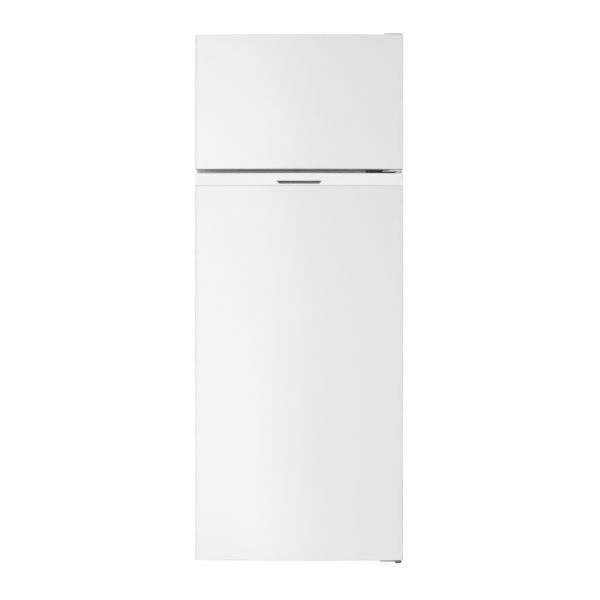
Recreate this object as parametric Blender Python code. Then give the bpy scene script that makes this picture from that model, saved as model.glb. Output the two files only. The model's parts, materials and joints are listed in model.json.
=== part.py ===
"""Top freezer refrigerator with two right-hinged doors, modelled as it comes apart on a bench.

Metres, +Z up. The front faces -Y. The origin is the centre of the footprint, on the floor.
The cabinet is a foamed steel casing round two plastic liners. Each door is a bowed steel skin with
moulded end caps, foam, an inner liner and a magnetic gasket, and turns on pins at its right edge.
"""

import math

import bmesh
import bpy
from mathutils import Matrix, Vector

# Overall size
WIDTH, DEPTH, HEIGHT = 0.550, 0.555, 1.415
SIDE = WIDTH / 2
FRONT, BACK = -DEPTH / 2, DEPTH / 2
GAP = 0.0004  # clearance between pieces that touch
SHEET = 0.001  # steel casing sheet
LINER = 0.0016  # formed plastic liner

# Doors
BOW = 0.012  # how far the middle of a door stands proud of its edges
DOOR_DEPTH = 0.060
DOOR_BACK = FRONT + DOOR_DEPTH
GASKET_DEPTH = 0.010
SEAL_INSET = 0.010  # from a door's edge to its gasket
DOOR_TOP = 1.409
SEAM_TOP, SEAM_BOTTOM = 1.0545, 1.0430  # the gap between the two doors
DOOR_BOTTOM = 0.022
CAP_DEPTH = 0.020
CORNER = 0.006  # edge radius of a door
LIP = 0.013
PANEL_RECESS = 0.008
DYKE = 0.030  # how far a door liner stands into its compartment

# Grip strip along the top of the lower door
GRIP_HEIGHT = 0.033
SLOT_WIDTH, SLOT_HEIGHT, SLOT_DROP = 0.118, 0.0075, 0.024
SLOT_DEPTH = 0.030

# Hinges
HINGE_X, HINGE_Y = 0.262, -0.240
PIN_RADIUS, PIN_LENGTH, PIN_HOLE = 0.004, 0.016, 0.0046
HINGE_PLATE = 0.003

# Cabinet
CABINET_FRONT = DOOR_BACK + GASKET_DEPTH
CABINET_TOP, CABINET_BOTTOM = 1.403, 0.030
RETURN = 0.012  # folded edge of a casing panel
CASING_INNER = SIDE - SHEET
RAIL_HALF = SIDE - RETURN - GAP
FOAM_HALF = 0.267
FOAM_FRONT = CABINET_FRONT + 0.0024

# Compartments: half width, floor, ceiling and rear wall
FREEZER_HALF, FREEZER_FLOOR, FREEZER_CEILING, FREEZER_REAR = 0.220, 1.079, 1.355, 0.2175
FRIDGE_HALF, FRIDGE_FLOOR, FRIDGE_CEILING, FRIDGE_REAR = 0.232, 0.075, 1.018, 0.2325
MULLION_LOW, MULLION_HIGH, RAIL_DEPTH = FRIDGE_CEILING + 0.0035, FREEZER_FLOOR - 0.0025, 0.008
FRONT_RAIL_TOP = 0.0555
LEDGE = 0.006
SHELF_LEVELS = (0.505, 0.745)
SPARE_LEVELS = (0.385, 0.625, 0.865)
FREEZER_SHELF_LEVEL = FREEZER_FLOOR + 0.138
DYKE_GAP = 0.012  # between a door's dyke and the compartment wall it stands beside

# Evaporator plates: the wall each is behind, half width, bottom and top
FREEZER_PLATE = (FREEZER_REAR, 0.190, FREEZER_FLOOR + 0.016, FREEZER_CEILING - 0.020)
FRIDGE_PLATE = (FRIDGE_REAR, 0.170, 0.450, 0.940)

# Machine room, at the bottom of the back
ROOM_FRONT, ROOM_TOP = 0.1125, 0.235
HUMP_FRONT, HUMP_TOP = 0.0675, 0.270
RAIL_TOP = CABINET_BOTTOM + 0.002
COMPRESSOR = Vector((0.070, 0.196, 0.0))

# Feet and rollers
FOOT_X, FOOT_Y = 0.232, -0.150
ROLLER_X, ROLLER_Y, ROLLER_RADIUS = 0.238, 0.215, 0.014

# Control box under the ceiling of the fridge compartment
BOX_LEFT, BOX_RIGHT, BOX_FRONT, BOX_REAR = -0.060, 0.190, -0.165, -0.040
BOX_BOTTOM, BOX_WALL = FRIDGE_CEILING - 0.049, 0.002
KNOB_X, KNOB_Z, KNOB_RADIUS = 0.085, FRIDGE_CEILING - 0.023, 0.018
PLUNGER_X, PLUNGER_Z, PLUNGER_RADIUS = 0.155, FRIDGE_CEILING - 0.0195, 0.003

MATERIALS = {}


# Helpers: materials, outlines and solids


def material(name, colour, roughness, metallic=0.0):
    """A Principled material, made once for each name."""
    if name not in MATERIALS:
        made = bpy.data.materials.new(name)
        made.use_nodes = True
        shader = made.node_tree.nodes["Principled BSDF"]
        shader.inputs["Base Color"].default_value = (*colour, 1.0)
        shader.inputs["Roughness"].default_value = roughness
        shader.inputs["Metallic"].default_value = metallic
        MATERIALS[name] = made
    return MATERIALS[name]


def white_steel():
    return material("white_enamel", (0.86, 0.86, 0.87), 0.35)


def white_plastic():
    return material("white_plastic", (0.88, 0.88, 0.88), 0.45)


def clear_plastic():
    return material("clear_plastic", (0.82, 0.87, 0.90), 0.15)


def zinc_steel():
    return material("zinc_steel", (0.62, 0.63, 0.65), 0.35, 1.0)


def foam_core():
    return material("foam", (0.90, 0.84, 0.62), 0.95)


def pivot(name, location):
    """An empty on a joint's axis, which the pieces of one moving body hang from."""
    empty = bpy.data.objects.new(name, None)
    empty.location = location
    bpy.context.scene.collection.objects.link(empty)
    return empty


def add(name, bm, finish=None, body=None):
    """A named object from bm, with its origin on its body's pivot."""
    bmesh.ops.recalc_face_normals(bm, faces=bm.faces)
    mesh = bpy.data.meshes.new(name)
    bm.to_mesh(mesh)
    bm.free()
    obj = bpy.data.objects.new(name, mesh)
    bpy.context.scene.collection.objects.link(obj)
    if finish is not None:
        mesh.materials.append(finish)
    if body is not None:
        mesh.transform(Matrix.Translation(-body.location))
        obj.parent = body
    return obj


def helper(obj):
    """Marks obj as a cutter or a piece for a union, which isn't a part itself."""
    obj.hide_render = True
    obj.display_type = "WIRE"
    return obj


def boolean(obj, operation, bm):
    other = helper(add(f"{obj.name}.{operation.lower()}", bm))
    modifier = obj.modifiers.new(operation.title(), "BOOLEAN")
    modifier.operation = operation
    modifier.solver = "EXACT"
    modifier.object = other
    return obj


def cut(obj, bm):
    return boolean(obj, "DIFFERENCE", bm)


def weld(obj, bm):
    return boolean(obj, "UNION", bm)


def smooth(obj, degrees=35):
    obj.data.shade_smooth()
    obj.data.set_sharp_from_angle(angle=math.radians(degrees))
    return obj


def arc(centre, radius, start, end, steps):
    """Points on an arc, from the angle start to the angle end, in degrees."""
    angles = [math.radians(start + (end - start) * i / steps) for i in range(steps + 1)]
    return [(centre[0] + radius * math.cos(a), centre[1] + radius * math.sin(a)) for a in angles]


def rounded(low, high, radius, steps=3):
    """A rectangle between two corners with its own corners rounded, counterclockwise."""
    (u0, v0), (u1, v1) = low, high
    return (
        arc((u1 - radius, v0 + radius), radius, -90, 0, steps)
        + arc((u1 - radius, v1 - radius), radius, 0, 90, steps)
        + arc((u0 + radius, v1 - radius), radius, 90, 180, steps)
        + arc((u0 + radius, v0 + radius), radius, 180, 270, steps)
    )


def offset_path(path, distance):
    """The open path moved to its left by distance, with mitred corners."""
    points = [Vector(p) for p in path]
    normals = []
    for a, b in zip(points, points[1:]):
        along = (b - a).normalized()
        normals.append(Vector((-along.y, along.x)))
    moved = [points[0] + normals[0] * distance]
    for p, n, m in zip(points[1:-1], normals, normals[1:]):
        mitre = (n + m).normalized()
        moved.append(p + mitre * (distance / mitre.dot(n)))
    moved.append(points[-1] + normals[-1] * distance)
    return [tuple(p) for p in moved]


def ribbon(path, thickness):
    """The closed outline of a sheet of that thickness, to the left of an open path."""
    return list(path) + offset_path(path, thickness)[::-1]


def in_space(point, axis, height):
    """A 2-D point in the plane across axis, at that height along it. Coordinates stay in X, Y, Z order."""
    u, v = point
    return {"X": (height, u, v), "Y": (u, height, v), "Z": (u, v, height)}[axis]


def prism(outline, axis, low, high, bm=None):
    """An outline extruded along an axis. Several prisms can share one bm."""
    bm = bm or bmesh.new()
    face = bm.faces.new([bm.verts.new(in_space(p, axis, low)) for p in outline])
    grown = bmesh.ops.extrude_face_region(bm, geom=[face])
    moved = [v for v in grown["geom"] if isinstance(v, bmesh.types.BMVert)]
    along = Vector(in_space((0, 0), axis, high - low))
    bmesh.ops.translate(bm, verts=moved, vec=along)
    return bm


def block(low, high, bm=None):
    """A block between two corners."""
    outline = [(low[0], low[1]), (high[0], low[1]), (high[0], high[1]), (low[0], high[1])]
    return prism(outline, "Z", low[2], high[2], bm)


def rod(centre, axis, radius, low, high, sides=16, bm=None):
    """A round bar with a flat facet facing down, from low to high along an axis."""
    turn = 180 / sides
    outline = arc(centre, radius, -90 + turn, 270 - turn, sides - 1)
    return prism(outline, axis, low, high, bm)


def loft(loops, ring=False):
    """A closed solid through loops of equal count: capped at both ends, or joined into a ring."""
    bm = bmesh.new()
    rows = [[bm.verts.new(p) for p in loop] for loop in loops]
    pairs = list(zip(rows, rows[1:]))
    if ring:
        pairs.append((rows[-1], rows[0]))
    else:
        bm.faces.new(rows[0])
        bm.faces.new(rows[-1])
    for a, b in pairs:
        for i in range(len(a)):
            j = (i + 1) % len(a)
            bm.faces.new((a[i], a[j], b[j], b[i]))
    return bm


def levels(outlines, axis):
    """Loops for loft, from pairs of an outline and its height along axis."""
    return [[in_space(p, axis, height) for p in outline] for outline, height in outlines]


def open_box(low, high, wall, draft, radius):
    """An open-topped box with rounded corners that tapers in by draft towards its floor."""
    (x0, y0, z0), (x1, y1, z1) = low, high
    outer_floor = rounded((x0 + draft, y0 + draft), (x1 - draft, y1 - draft), radius)
    outer_rim = rounded((x0, y0), (x1, y1), radius)
    inner_rim = rounded((x0 + wall, y0 + wall), (x1 - wall, y1 - wall), radius - wall / 2)
    inset = draft + wall
    inner_floor = rounded((x0 + inset, y0 + inset), (x1 - inset, y1 - inset), radius - wall / 2)
    outlines = ((outer_floor, z0), (outer_rim, z1), (inner_rim, z1), (inner_floor, z0 + wall))
    return loft(levels(outlines, "Z"))


def tube(name, points, radius, finish):
    """A bent pipe along a list of points."""
    curve = bpy.data.curves.new(name, "CURVE")
    curve.dimensions = "3D"
    curve.bevel_depth = radius
    curve.bevel_resolution = 1
    curve.use_fill_caps = True
    spline = curve.splines.new("POLY")
    spline.points.add(len(points) - 1)
    for target, point in zip(spline.points, points):
        target.co = (*point, 1.0)
    curve.materials.append(finish)
    obj = bpy.data.objects.new(name, curve)
    bpy.context.scene.collection.objects.link(obj)
    return obj


def rounded_route(corners, radius, steps=3):
    """A 3-D polyline with each corner replaced by a quadratic bend that starts radius before it."""
    points = [Vector(c) for c in corners]
    route = [points[0]]
    for before, corner, after in zip(points, points[1:], points[2:]):
        start = corner + (before - corner).normalized() * radius
        end = corner + (after - corner).normalized() * radius
        for i in range(steps + 1):
            t = i / steps
            route.append(start * (1 - t) ** 2 + corner * 2 * t * (1 - t) + end * t**2)
    route.append(points[-1])
    return route


# Door shapes shared by both doors


def front_y(x, inset=0.0):
    """The bowed face of a door, and surfaces set in behind it."""
    return FRONT + BOW * (x / SIDE) ** 2 + inset


def door_path(inset, back, steps=16):
    """Plan of a door from its left rear edge round its bowed front to its right rear edge."""
    reach = SIDE - CORNER
    lean = math.degrees(math.atan(2 * BOW / SIDE * reach / SIDE))
    centre_y = front_y(reach) + CORNER
    left = arc((-reach, centre_y), CORNER - inset, 180, 270 - lean, 4)
    right = arc((reach, centre_y), CORNER - inset, 270 + lean, 360, 4)
    xs = [reach * (2 * i / steps - 1) for i in range(1, steps)]
    bow = [(x, front_y(x, inset)) for x in xs]
    edge = SIDE - inset
    return [(-edge, back)] + left + bow + right + [(edge, back)]


def door_skin(name, low, high, body):
    back = DOOR_BACK - LINER - 2 * GAP
    side = door_path(0, back)
    path = [(-SIDE + LIP, back)] + side + [(SIDE - LIP, back)]
    bm = prism(ribbon(path, SHEET), "Z", low, high)
    return smooth(add(name, bm, white_steel(), body))


def door_cap(name, low, high, body, pin_low, pin_high):
    """A moulded end cap inside the skin, with a blind hole for a hinge pin."""
    inset = SHEET + GAP
    back = DOOR_BACK - LINER - 3 * GAP - SHEET
    cap = add(name, prism(door_path(inset, back), "Z", low, high), white_plastic(), body)
    return cut(cap, rod((HINGE_X, HINGE_Y), "Z", PIN_HOLE, pin_low, pin_high))


def door_foam(name, low, high, body):
    back = DOOR_BACK - PANEL_RECESS - LINER - GAP
    bm = prism(door_path(SHEET + GAP, back), "Z", low, high)
    return add(name, bm, foam_core(), body)


def door_liner(name, low, high, half, floor, ceiling, body):
    """A formed inner panel: an outer flange, a recessed middle, and a raised dyke between them that
    stands just inside a compartment of that half width, floor and ceiling."""

    def frame(inset, radius):
        inset += DYKE_GAP
        return rounded((-half + inset, floor + inset), (half - inset, ceiling - inset), radius)

    edge = SIDE - 0.0015
    flange = rounded((-edge, low), (edge, high), 0.003)
    shown = (
        (flange, DOOR_BACK),
        (frame(0.0, 0.020), DOOR_BACK),
        (frame(0.004, 0.018), DOOR_BACK + DYKE),
        (frame(0.018, 0.010), DOOR_BACK + DYKE),
        (frame(0.022, 0.008), DOOR_BACK - PANEL_RECESS),
    )
    hidden = (
        (frame(0.022 - LINER, 0.009), DOOR_BACK - PANEL_RECESS - LINER),
        (frame(0.018 - LINER, 0.011), DOOR_BACK + DYKE - LINER),
        (frame(0.004 + LINER, 0.017), DOOR_BACK + DYKE - LINER),
        (frame(LINER, 0.019), DOOR_BACK - LINER),
        (flange, DOOR_BACK - LINER),
    )
    inside_first = shown[::-1] + hidden[::-1]
    return smooth(add(name, loft(levels(inside_first, "Y")), white_plastic(), body))


def gasket(name, low, high, body):
    """A bellows seal: a foot on the door, a waist, and a magnet bead against the cabinet."""
    start, end = DOOR_BACK + GAP, CABINET_FRONT - GAP
    half, centre = 0.252, 0.008
    stations = ((0.008, 0.0), (0.008, 0.3), (0.0045, 0.5), (0.007, 0.75), (0.007, 1.0))
    low_z, high_z = low + centre, high - centre

    def outline(spread):
        corner_low = (-half - spread, low_z - spread)
        return rounded(corner_low, (half + spread, high_z + spread), 0.010 + spread)

    outer = [(outline(reach), start + (end - start) * share) for reach, share in stations]
    inner = [(outline(-reach), start + (end - start) * share) for reach, share in stations]
    finish = material("gasket_vinyl", (0.80, 0.80, 0.79), 0.6)
    return smooth(add(name, loft(levels(outer + inner[::-1], "Y"), ring=True), finish, body))


def door_bin(name, half, floor, height, reach, body):
    """A clear tray hung between the dykes of a door liner."""
    low = (-half, DOOR_BACK - PANEL_RECESS + GAP, floor)
    high = (half, DOOR_BACK + reach, floor + height)
    return smooth(add(name, open_box(low, high, 0.002, 0.003, 0.012), clear_plastic(), body))


# Doors


def freezer_door():
    body = pivot("freezer_door_pivot", (HINGE_X, HINGE_Y, SEAM_TOP))
    low, high = SEAM_TOP, DOOR_TOP
    door_skin("freezer_door_skin", low, high, body)
    edge = 0.0005
    top, bottom = high - edge, low + edge
    bored = PIN_LENGTH + 0.001
    door_cap("freezer_door_top_cap", top - CAP_DEPTH, top, body, top - bored, top + bored)
    door_cap("freezer_door_bottom_cap", bottom, bottom + CAP_DEPTH, body, bottom - bored, bottom + bored)
    foam_low = bottom + CAP_DEPTH + GAP
    door_foam("freezer_door_foam", foam_low, top - CAP_DEPTH - GAP, body)
    door_liner("freezer_door_liner", low + edge, top, FREEZER_HALF, FREEZER_FLOOR, FREEZER_CEILING, body)
    gasket("freezer_door_gasket", low + SEAL_INSET, high - SEAL_INSET, body)
    door_bin("freezer_door_bin", 0.183, FREEZER_FLOOR + 0.038, 0.060, 0.062, body)


def slot_outline(drop, width, height):
    """The finger slot: flat on top, with ends that slope in to a shorter lower edge."""
    high = SEAM_BOTTOM - drop + height / 2
    low = high - height
    slope = height * 0.8
    reach = width / 2
    return [(-reach, high), (-reach + slope, low), (reach - slope, low), (reach, high)]


def grip_cap(body):
    """The moulded strip along the top of the lower door, flush with its skin, with a finger slot."""
    low = SEAM_BOTTOM - GRIP_HEIGHT
    back = DOOR_BACK - LINER - 2 * GAP
    outline = prism(door_path(0, back), "Z", low, SEAM_BOTTOM)
    cap = add("grip_cap", outline, white_plastic(), body)
    pocket = block(
        (-SLOT_WIDTH / 2 - 0.004, FRONT + 0.004, low + 0.003),
        (SLOT_WIDTH / 2 + 0.004, FRONT + SLOT_DEPTH, SEAM_BOTTOM - 0.004),
    )
    cut(cap, pocket)
    mouth = prism(slot_outline(SLOT_DROP, SLOT_WIDTH, SLOT_HEIGHT), "Y", FRONT - 0.005, FRONT + 0.008)
    cut(cap, mouth)
    pin = rod((HINGE_X, HINGE_Y), "Z", PIN_HOLE, SEAM_BOTTOM - PIN_LENGTH - 0.001, SEAM_BOTTOM + 0.005)
    return smooth(cut(cap, pin))


def grip_insert(body):
    """The grey cup that lines the pocket behind the finger slot."""
    low = SEAM_BOTTOM - GRIP_HEIGHT + 0.003 + GAP
    high = SEAM_BOTTOM - 0.004 - GAP
    half = SLOT_WIDTH / 2 + 0.004 - GAP
    front, rear = FRONT + 0.004 + GAP, FRONT + SLOT_DEPTH - GAP
    wall = 0.0012
    outer = rounded((-half, low), (half, high), 0.003)
    inner = rounded((-half + wall, low + wall), (half - wall, high - wall), 0.002)
    outlines = ((outer, rear), (outer, front), (inner, front), (inner, rear - wall))
    finish = material("grip_grey", (0.42, 0.43, 0.44), 0.5)
    return add("grip_insert", loft(levels(outlines, "Y")), finish, body)


def fridge_door():
    body = pivot("fridge_door_pivot", (HINGE_X, HINGE_Y, DOOR_BOTTOM))
    low, high = DOOR_BOTTOM, SEAM_BOTTOM - GRIP_HEIGHT - GAP
    door_skin("fridge_door_skin", low, high, body)
    bottom = low + 0.0005
    bored = PIN_LENGTH + 0.001
    door_cap("fridge_door_bottom_cap", bottom, bottom + CAP_DEPTH, body, bottom - bored, bottom + bored)
    door_foam("fridge_door_foam", bottom + CAP_DEPTH + GAP, high - GAP, body)
    door_liner("fridge_door_liner", bottom, SEAM_BOTTOM - 0.0005, FRIDGE_HALF, FRIDGE_FLOOR, FRIDGE_CEILING, body)
    gasket("fridge_door_gasket", FRIDGE_FLOOR - 0.016, SEAM_BOTTOM - SEAL_INSET, body)
    grip_cap(body)
    grip_insert(body)
    door_bin("bottle_bin", 0.196, 0.300, 0.085, 0.090, body)
    door_bin("door_bin_1", 0.196, 0.640, 0.062, 0.090, body)
    door_bin("door_bin_2", 0.196, 0.840, 0.055, 0.075, body)


# Cabinet casing


def side_panel(name, sign):
    """A painted steel side with its front and rear edges folded in."""
    front, back = CABINET_FRONT, BACK - SHEET - GAP
    path = [
        (sign * (SIDE - RETURN), front),
        (sign * SIDE, front),
        (sign * SIDE, back),
        (sign * (SIDE - RETURN), back),
    ]
    outline = ribbon(path, sign * SHEET)
    return add(name, prism(outline, "Z", CABINET_BOTTOM, CABINET_TOP - RETURN - GAP), white_steel())


def top_panel():
    """A shallow lid over the top of the casing, open underneath."""
    wall = 0.0014
    outer = rounded((-SIDE, CABINET_FRONT), (SIDE, BACK), 0.003)
    inner = rounded((-SIDE + wall, CABINET_FRONT + wall), (SIDE - wall, BACK - wall), 0.002)
    rim, under = CABINET_TOP - RETURN, CABINET_TOP - wall
    outlines = ((outer, CABINET_TOP), (outer, rim), (inner, rim), (inner, under))
    return add("top_panel", loft(levels(outlines, "Z")), white_steel())


def back_panel():
    """The rear sheet, with a shallow pressed panel to stiffen it."""
    low, high = ROOM_TOP + 0.002, CABINET_TOP - RETURN - GAP
    edge = SIDE - GAP
    inset, pressed = 0.045, 0.0025

    def outline(step):
        return rounded((-edge + step, low + step), (edge - step, high - step), 0.004)

    outlines = (
        (outline(inset + 0.006), BACK - SHEET - pressed),
        (outline(inset), BACK - SHEET),
        (outline(0), BACK - SHEET),
        (outline(0), BACK),
        (outline(inset), BACK),
        (outline(inset + 0.006), BACK - pressed),
    )
    return add("back_panel", loft(levels(outlines, "Y")), material("galvanised", (0.72, 0.73, 0.74), 0.4, 0.6))


def base_pan():
    """The bottom sheet: front rail, floor, and the step up over the machine room."""
    front, back = CABINET_FRONT + GAP, BACK - SHEET - SHEET - 2 * GAP
    path = [
        (front, FRONT_RAIL_TOP),
        (front, CABINET_BOTTOM),
        (ROOM_FRONT, CABINET_BOTTOM),
        (ROOM_FRONT, ROOM_TOP),
        (back, ROOM_TOP),
    ]
    pan = add("base_pan", prism(ribbon(path, 0.0012), "X", -RAIL_HALF, RAIL_HALF), zinc_steel())
    holes = bmesh.new()
    for sign in (-1, 1):
        rod((sign * FOOT_X, FOOT_Y), "Z", 0.0055, CABINET_BOTTOM - 0.01, CABINET_BOTTOM + 0.004, bm=holes)
    return cut(pan, holes)


def mullion_rail():
    """The cross rail between the compartments, which both gaskets seal against."""
    deep = CABINET_FRONT + RAIL_DEPTH
    path = [(deep, MULLION_HIGH), (CABINET_FRONT, MULLION_HIGH), (CABINET_FRONT, MULLION_LOW), (deep, MULLION_LOW)]
    return add("mullion_rail", prism(ribbon(path, 0.0012), "X", -RAIL_HALF, RAIL_HALF), white_steel())


def fridge_profile(grow, front):
    """Side view of the fridge compartment, which steps over the machine room, grown outwards."""
    return [
        (front, FRIDGE_FLOOR - grow),
        (HUMP_FRONT + grow, FRIDGE_FLOOR - grow),
        (HUMP_FRONT + grow, HUMP_TOP - grow),
        (FRIDGE_REAR + grow, HUMP_TOP - grow),
        (FRIDGE_REAR + grow, FRIDGE_CEILING + grow),
        (front, FRIDGE_CEILING + grow),
    ]


def ledges(half, heights, low_y, high_y):
    """Pairs of shelf supports moulded into a liner's side walls."""
    bm = bmesh.new()
    for level in heights:
        for sign in (-1, 1):
            x0, x1 = sorted((sign * (half - LEDGE), sign * (half + LINER / 2)))
            block((x0, low_y, level - 0.010), (x1, high_y, level - GAP), bm)
    return bm


def fridge_liner():
    inner_front = CABINET_FRONT + LINER / 2
    walls = prism(fridge_profile(LINER, inner_front), "X", -FRIDGE_HALF - LINER, FRIDGE_HALF + LINER)
    liner = add("fridge_liner", walls, white_plastic())
    low, high = FRONT_RAIL_TOP + GAP, MULLION_LOW - GAP
    flange = (-RAIL_HALF, CABINET_FRONT, low), (RAIL_HALF, CABINET_FRONT + LINER, high)
    weld(liner, block(*flange))
    cavity = prism(fridge_profile(0, CABINET_FRONT - 0.01), "X", -FRIDGE_HALF, FRIDGE_HALF)
    cut(liner, cavity)
    return weld(liner, ledges(FRIDGE_HALF, SHELF_LEVELS + SPARE_LEVELS, -0.085, FRIDGE_REAR - 0.004))


def freezer_liner():
    def frame(grow, radius):
        low = (-FREEZER_HALF - grow, FREEZER_FLOOR - grow)
        high = (FREEZER_HALF + grow, FREEZER_CEILING + grow)
        return rounded(low, high, radius)

    edge = (-RAIL_HALF, MULLION_HIGH + GAP), (RAIL_HALF, CABINET_TOP - RETURN - GAP)
    outlines = (
        (frame(0, 0.012), FREEZER_REAR),
        (frame(0, 0.012), CABINET_FRONT),
        (rounded(*edge, 0.001), CABINET_FRONT),
        (rounded(*edge, 0.001), CABINET_FRONT + LINER),
        (frame(LINER, 0.013), CABINET_FRONT + LINER),
        (frame(LINER, 0.013), FREEZER_REAR + LINER),
    )
    liner = add("freezer_liner", loft(levels(outlines, "Y")), white_plastic())
    return weld(liner, ledges(FREEZER_HALF, (FREEZER_SHELF_LEVEL,), -0.120, FREEZER_REAR - 0.004))


def foam_block(name, outline, hollow):
    """Foam round one liner, notched for the cross rail."""
    foam = add(name, prism(outline, "X", -FOAM_HALF, FOAM_HALF), foam_core())
    cut(foam, hollow)
    behind_rail, wide = CABINET_FRONT + RAIL_DEPTH + GAP, FOAM_HALF + 0.01
    return cut(foam, block((-wide, CABINET_FRONT, MULLION_LOW - GAP), (wide, behind_rail, MULLION_HIGH + GAP)))


def casing_foam():
    """The foam in two blocks that meet halfway down the divider, with room for the evaporators."""
    clear = LINER + GAP
    plate_room = 0.0085
    middle = (MULLION_LOW + MULLION_HIGH) / 2
    back, low, high = BACK - 0.0045, CABINET_BOTTOM + 0.0065, CABINET_TOP - 0.0035
    upper = [(FOAM_FRONT, middle), (back, middle), (back, high), (FOAM_FRONT, high)]
    half = FREEZER_HALF + clear
    hollow = block(
        (-half, CABINET_FRONT, FREEZER_FLOOR - clear),
        (half, FREEZER_REAR + plate_room, FREEZER_CEILING + clear),
    )
    foam_block("freezer_foam", upper, hollow)
    room_front, room_top = ROOM_FRONT - 0.0016, ROOM_TOP + 0.0016
    lower = [(FOAM_FRONT, low), (room_front, low), (room_front, room_top), (back, room_top)]
    lower += [(back, middle - GAP), (FOAM_FRONT, middle - GAP)]
    half = FRIDGE_HALF + clear
    foam = foam_block("fridge_foam", lower, prism(fridge_profile(clear, CABINET_FRONT), "X", -half, half))
    rear, half, low, high = FRIDGE_PLATE
    room = 0.005
    cut(foam, block((-half - room, rear, low - room), (half + room, rear + plate_room, high + room)))


# Cooling circuit


def serpentine(low, high, left, right, runs):
    """A zigzag of level runs joined at their ends, as a list of 2-D points."""
    path = []
    for i in range(runs):
        height = low + (high - low) * i / (runs - 1)
        ends = [(left, height), (right, height)]
        path += ends if i % 2 == 0 else ends[::-1]
    return path


def evaporator(name, plate_size, runs):
    """A roll-bond plate: a flat sheet with a raised serpentine channel on its rear face."""
    rear, half, low, high = plate_size
    aluminium = material("aluminium", (0.80, 0.81, 0.82), 0.35, 1.0)
    face = rear + LINER + GAP
    sheet = 0.0015
    plate = add(name, block((-half, face, low), (half, face + sheet, high)), aluminium)
    inset = 0.020
    path = serpentine(low + inset, high - inset, -half + inset, half - inset, runs)
    channel = prism(ribbon(path, 0.008), "Y", face + sheet / 2, face + 0.005)
    return weld(plate, channel)


def compressor():
    """A hermetic shell with its base plate, rubber-shod feet and pipe stubs."""
    shape = ((0.0, 0.30), (0.010, 0.62), (0.030, 0.90), (0.055, 0.99), (0.075, 1.0))
    tall = 0.140
    stations = list(shape) + [(tall - z, r) for z, r in shape[::-1][1:]]
    outlines = []
    for height, share in stations:
        angles = [2 * math.pi * i / 20 for i in range(20)]
        ring = [(COMPRESSOR.x + 0.084 * share * math.cos(a), COMPRESSOR.y + 0.066 * share * math.sin(a)) for a in angles]
        outlines.append((ring, 0.046 + height))
    black = material("black_enamel", (0.03, 0.03, 0.032), 0.4)
    shell = add("compressor", loft(levels(outlines, "Z")), black)
    x, y = COMPRESSOR.x, COMPRESSOR.y
    weld(shell, block((x - 0.098, y - 0.062, 0.0445), (x + 0.098, y + 0.062, 0.0475)))
    extras = bmesh.new()
    for sx in (-1, 1):
        for sy in (-1, 1):
            rod((x + sx * 0.084, y + sy * 0.050), "Z", 0.009, RAIL_TOP + GAP, 0.0455, 12, extras)
    rod((y - 0.030, 0.125), "X", 0.004, x - 0.092, x - 0.060, 10, extras)
    rod((y + 0.030, 0.125), "X", 0.004, x - 0.092, x - 0.060, 10, extras)
    return smooth(weld(shell, extras))


def starter_box():
    """The plastic cover over the compressor's terminals, relay and overload."""
    x, y = COMPRESSOR.x + 0.0865, COMPRESSOR.y
    low, high = (x, y - 0.026, 0.085), (x + 0.034, y + 0.026, 0.145)
    return add("starter_box", block(low, high), material("black_plastic", (0.04, 0.04, 0.04), 0.5))


def evaporation_tray():
    """The tray above the compressor that catches and dries the defrost water."""
    low = (COMPRESSOR.x - 0.085, COMPRESSOR.y - 0.062, 0.1865)
    high = (COMPRESSOR.x + 0.085, COMPRESSOR.y + 0.062, 0.2165)
    return add("evaporation_tray", open_box(low, high, 0.0018, 0.004, 0.012), white_plastic())


def copper():
    return material("copper", (0.72, 0.40, 0.26), 0.35, 1.0)


def filter_dryer():
    """The copper drying cartridge between the condenser and the capillary."""
    centre = (-0.130, 0.200)
    stations = ((0.0030, 0.080), (0.0030, 0.090), (0.0095, 0.100), (0.0095, 0.165), (0.0030, 0.176), (0.0030, 0.190))
    outlines = [(arc(centre, radius, 0, 360 - 30, 11), height) for radius, height in stations]
    return smooth(add("filter_dryer", loft(levels(outlines, "Z")), copper()))


def suction_pipe():
    """The return pipe, from the casing down to the compressor."""
    port = (COMPRESSOR.x - 0.0935, COMPRESSOR.y + 0.030, 0.125)
    corners = [port, (-0.060, port[1], port[2]), (-0.060, port[1], ROOM_TOP - GAP)]
    return tube("suction_pipe", rounded_route(corners, 0.014), 0.0035, copper())


def condenser_tube():
    """One pipe from the compressor, up and down behind both sides of the casing, to the dryer."""
    wall = (FOAM_HALF + CASING_INNER) / 2
    top, bottom, under = FREEZER_CEILING - 0.030, 0.310, 0.262
    runs = [0.205 - 0.072 * i for i in range(6)]
    entry, aside, over = runs[0], 0.145, 0.215
    left = [(-wall, entry, over)]
    for i, y in enumerate(runs):
        heights = (bottom, top) if i % 2 == 0 else (top, bottom)
        left += [(-wall, y, heights[0]), (-wall, y, heights[1])]
    del left[1]
    left[-1] = (-wall, runs[-1], under)
    left += [(-wall, aside, under), (-wall, aside, 0.085)]
    right = [(-x, y, z) for x, y, z in left[::-1]]
    behind = ROOM_FRONT + 0.0062
    port = (COMPRESSOR.x - 0.0935, COMPRESSOR.y - 0.030, 0.125)
    start = [port, (-0.045, port[1], port[2]), (-0.045, entry, over)]
    cross = [(-0.250, aside, 0.060), (-0.235, behind, 0.060), (0.235, behind, 0.060), (0.250, aside, 0.060)]
    home = [(0.235, behind, 0.076), (-0.130, behind, 0.076), (-0.130, 0.200, 0.066), (-0.130, 0.200, 0.0795)]
    corners = start + left + cross + right + home
    return tube("condenser_tube", rounded_route(corners, 0.012, 2), 0.0024, copper())


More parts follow.
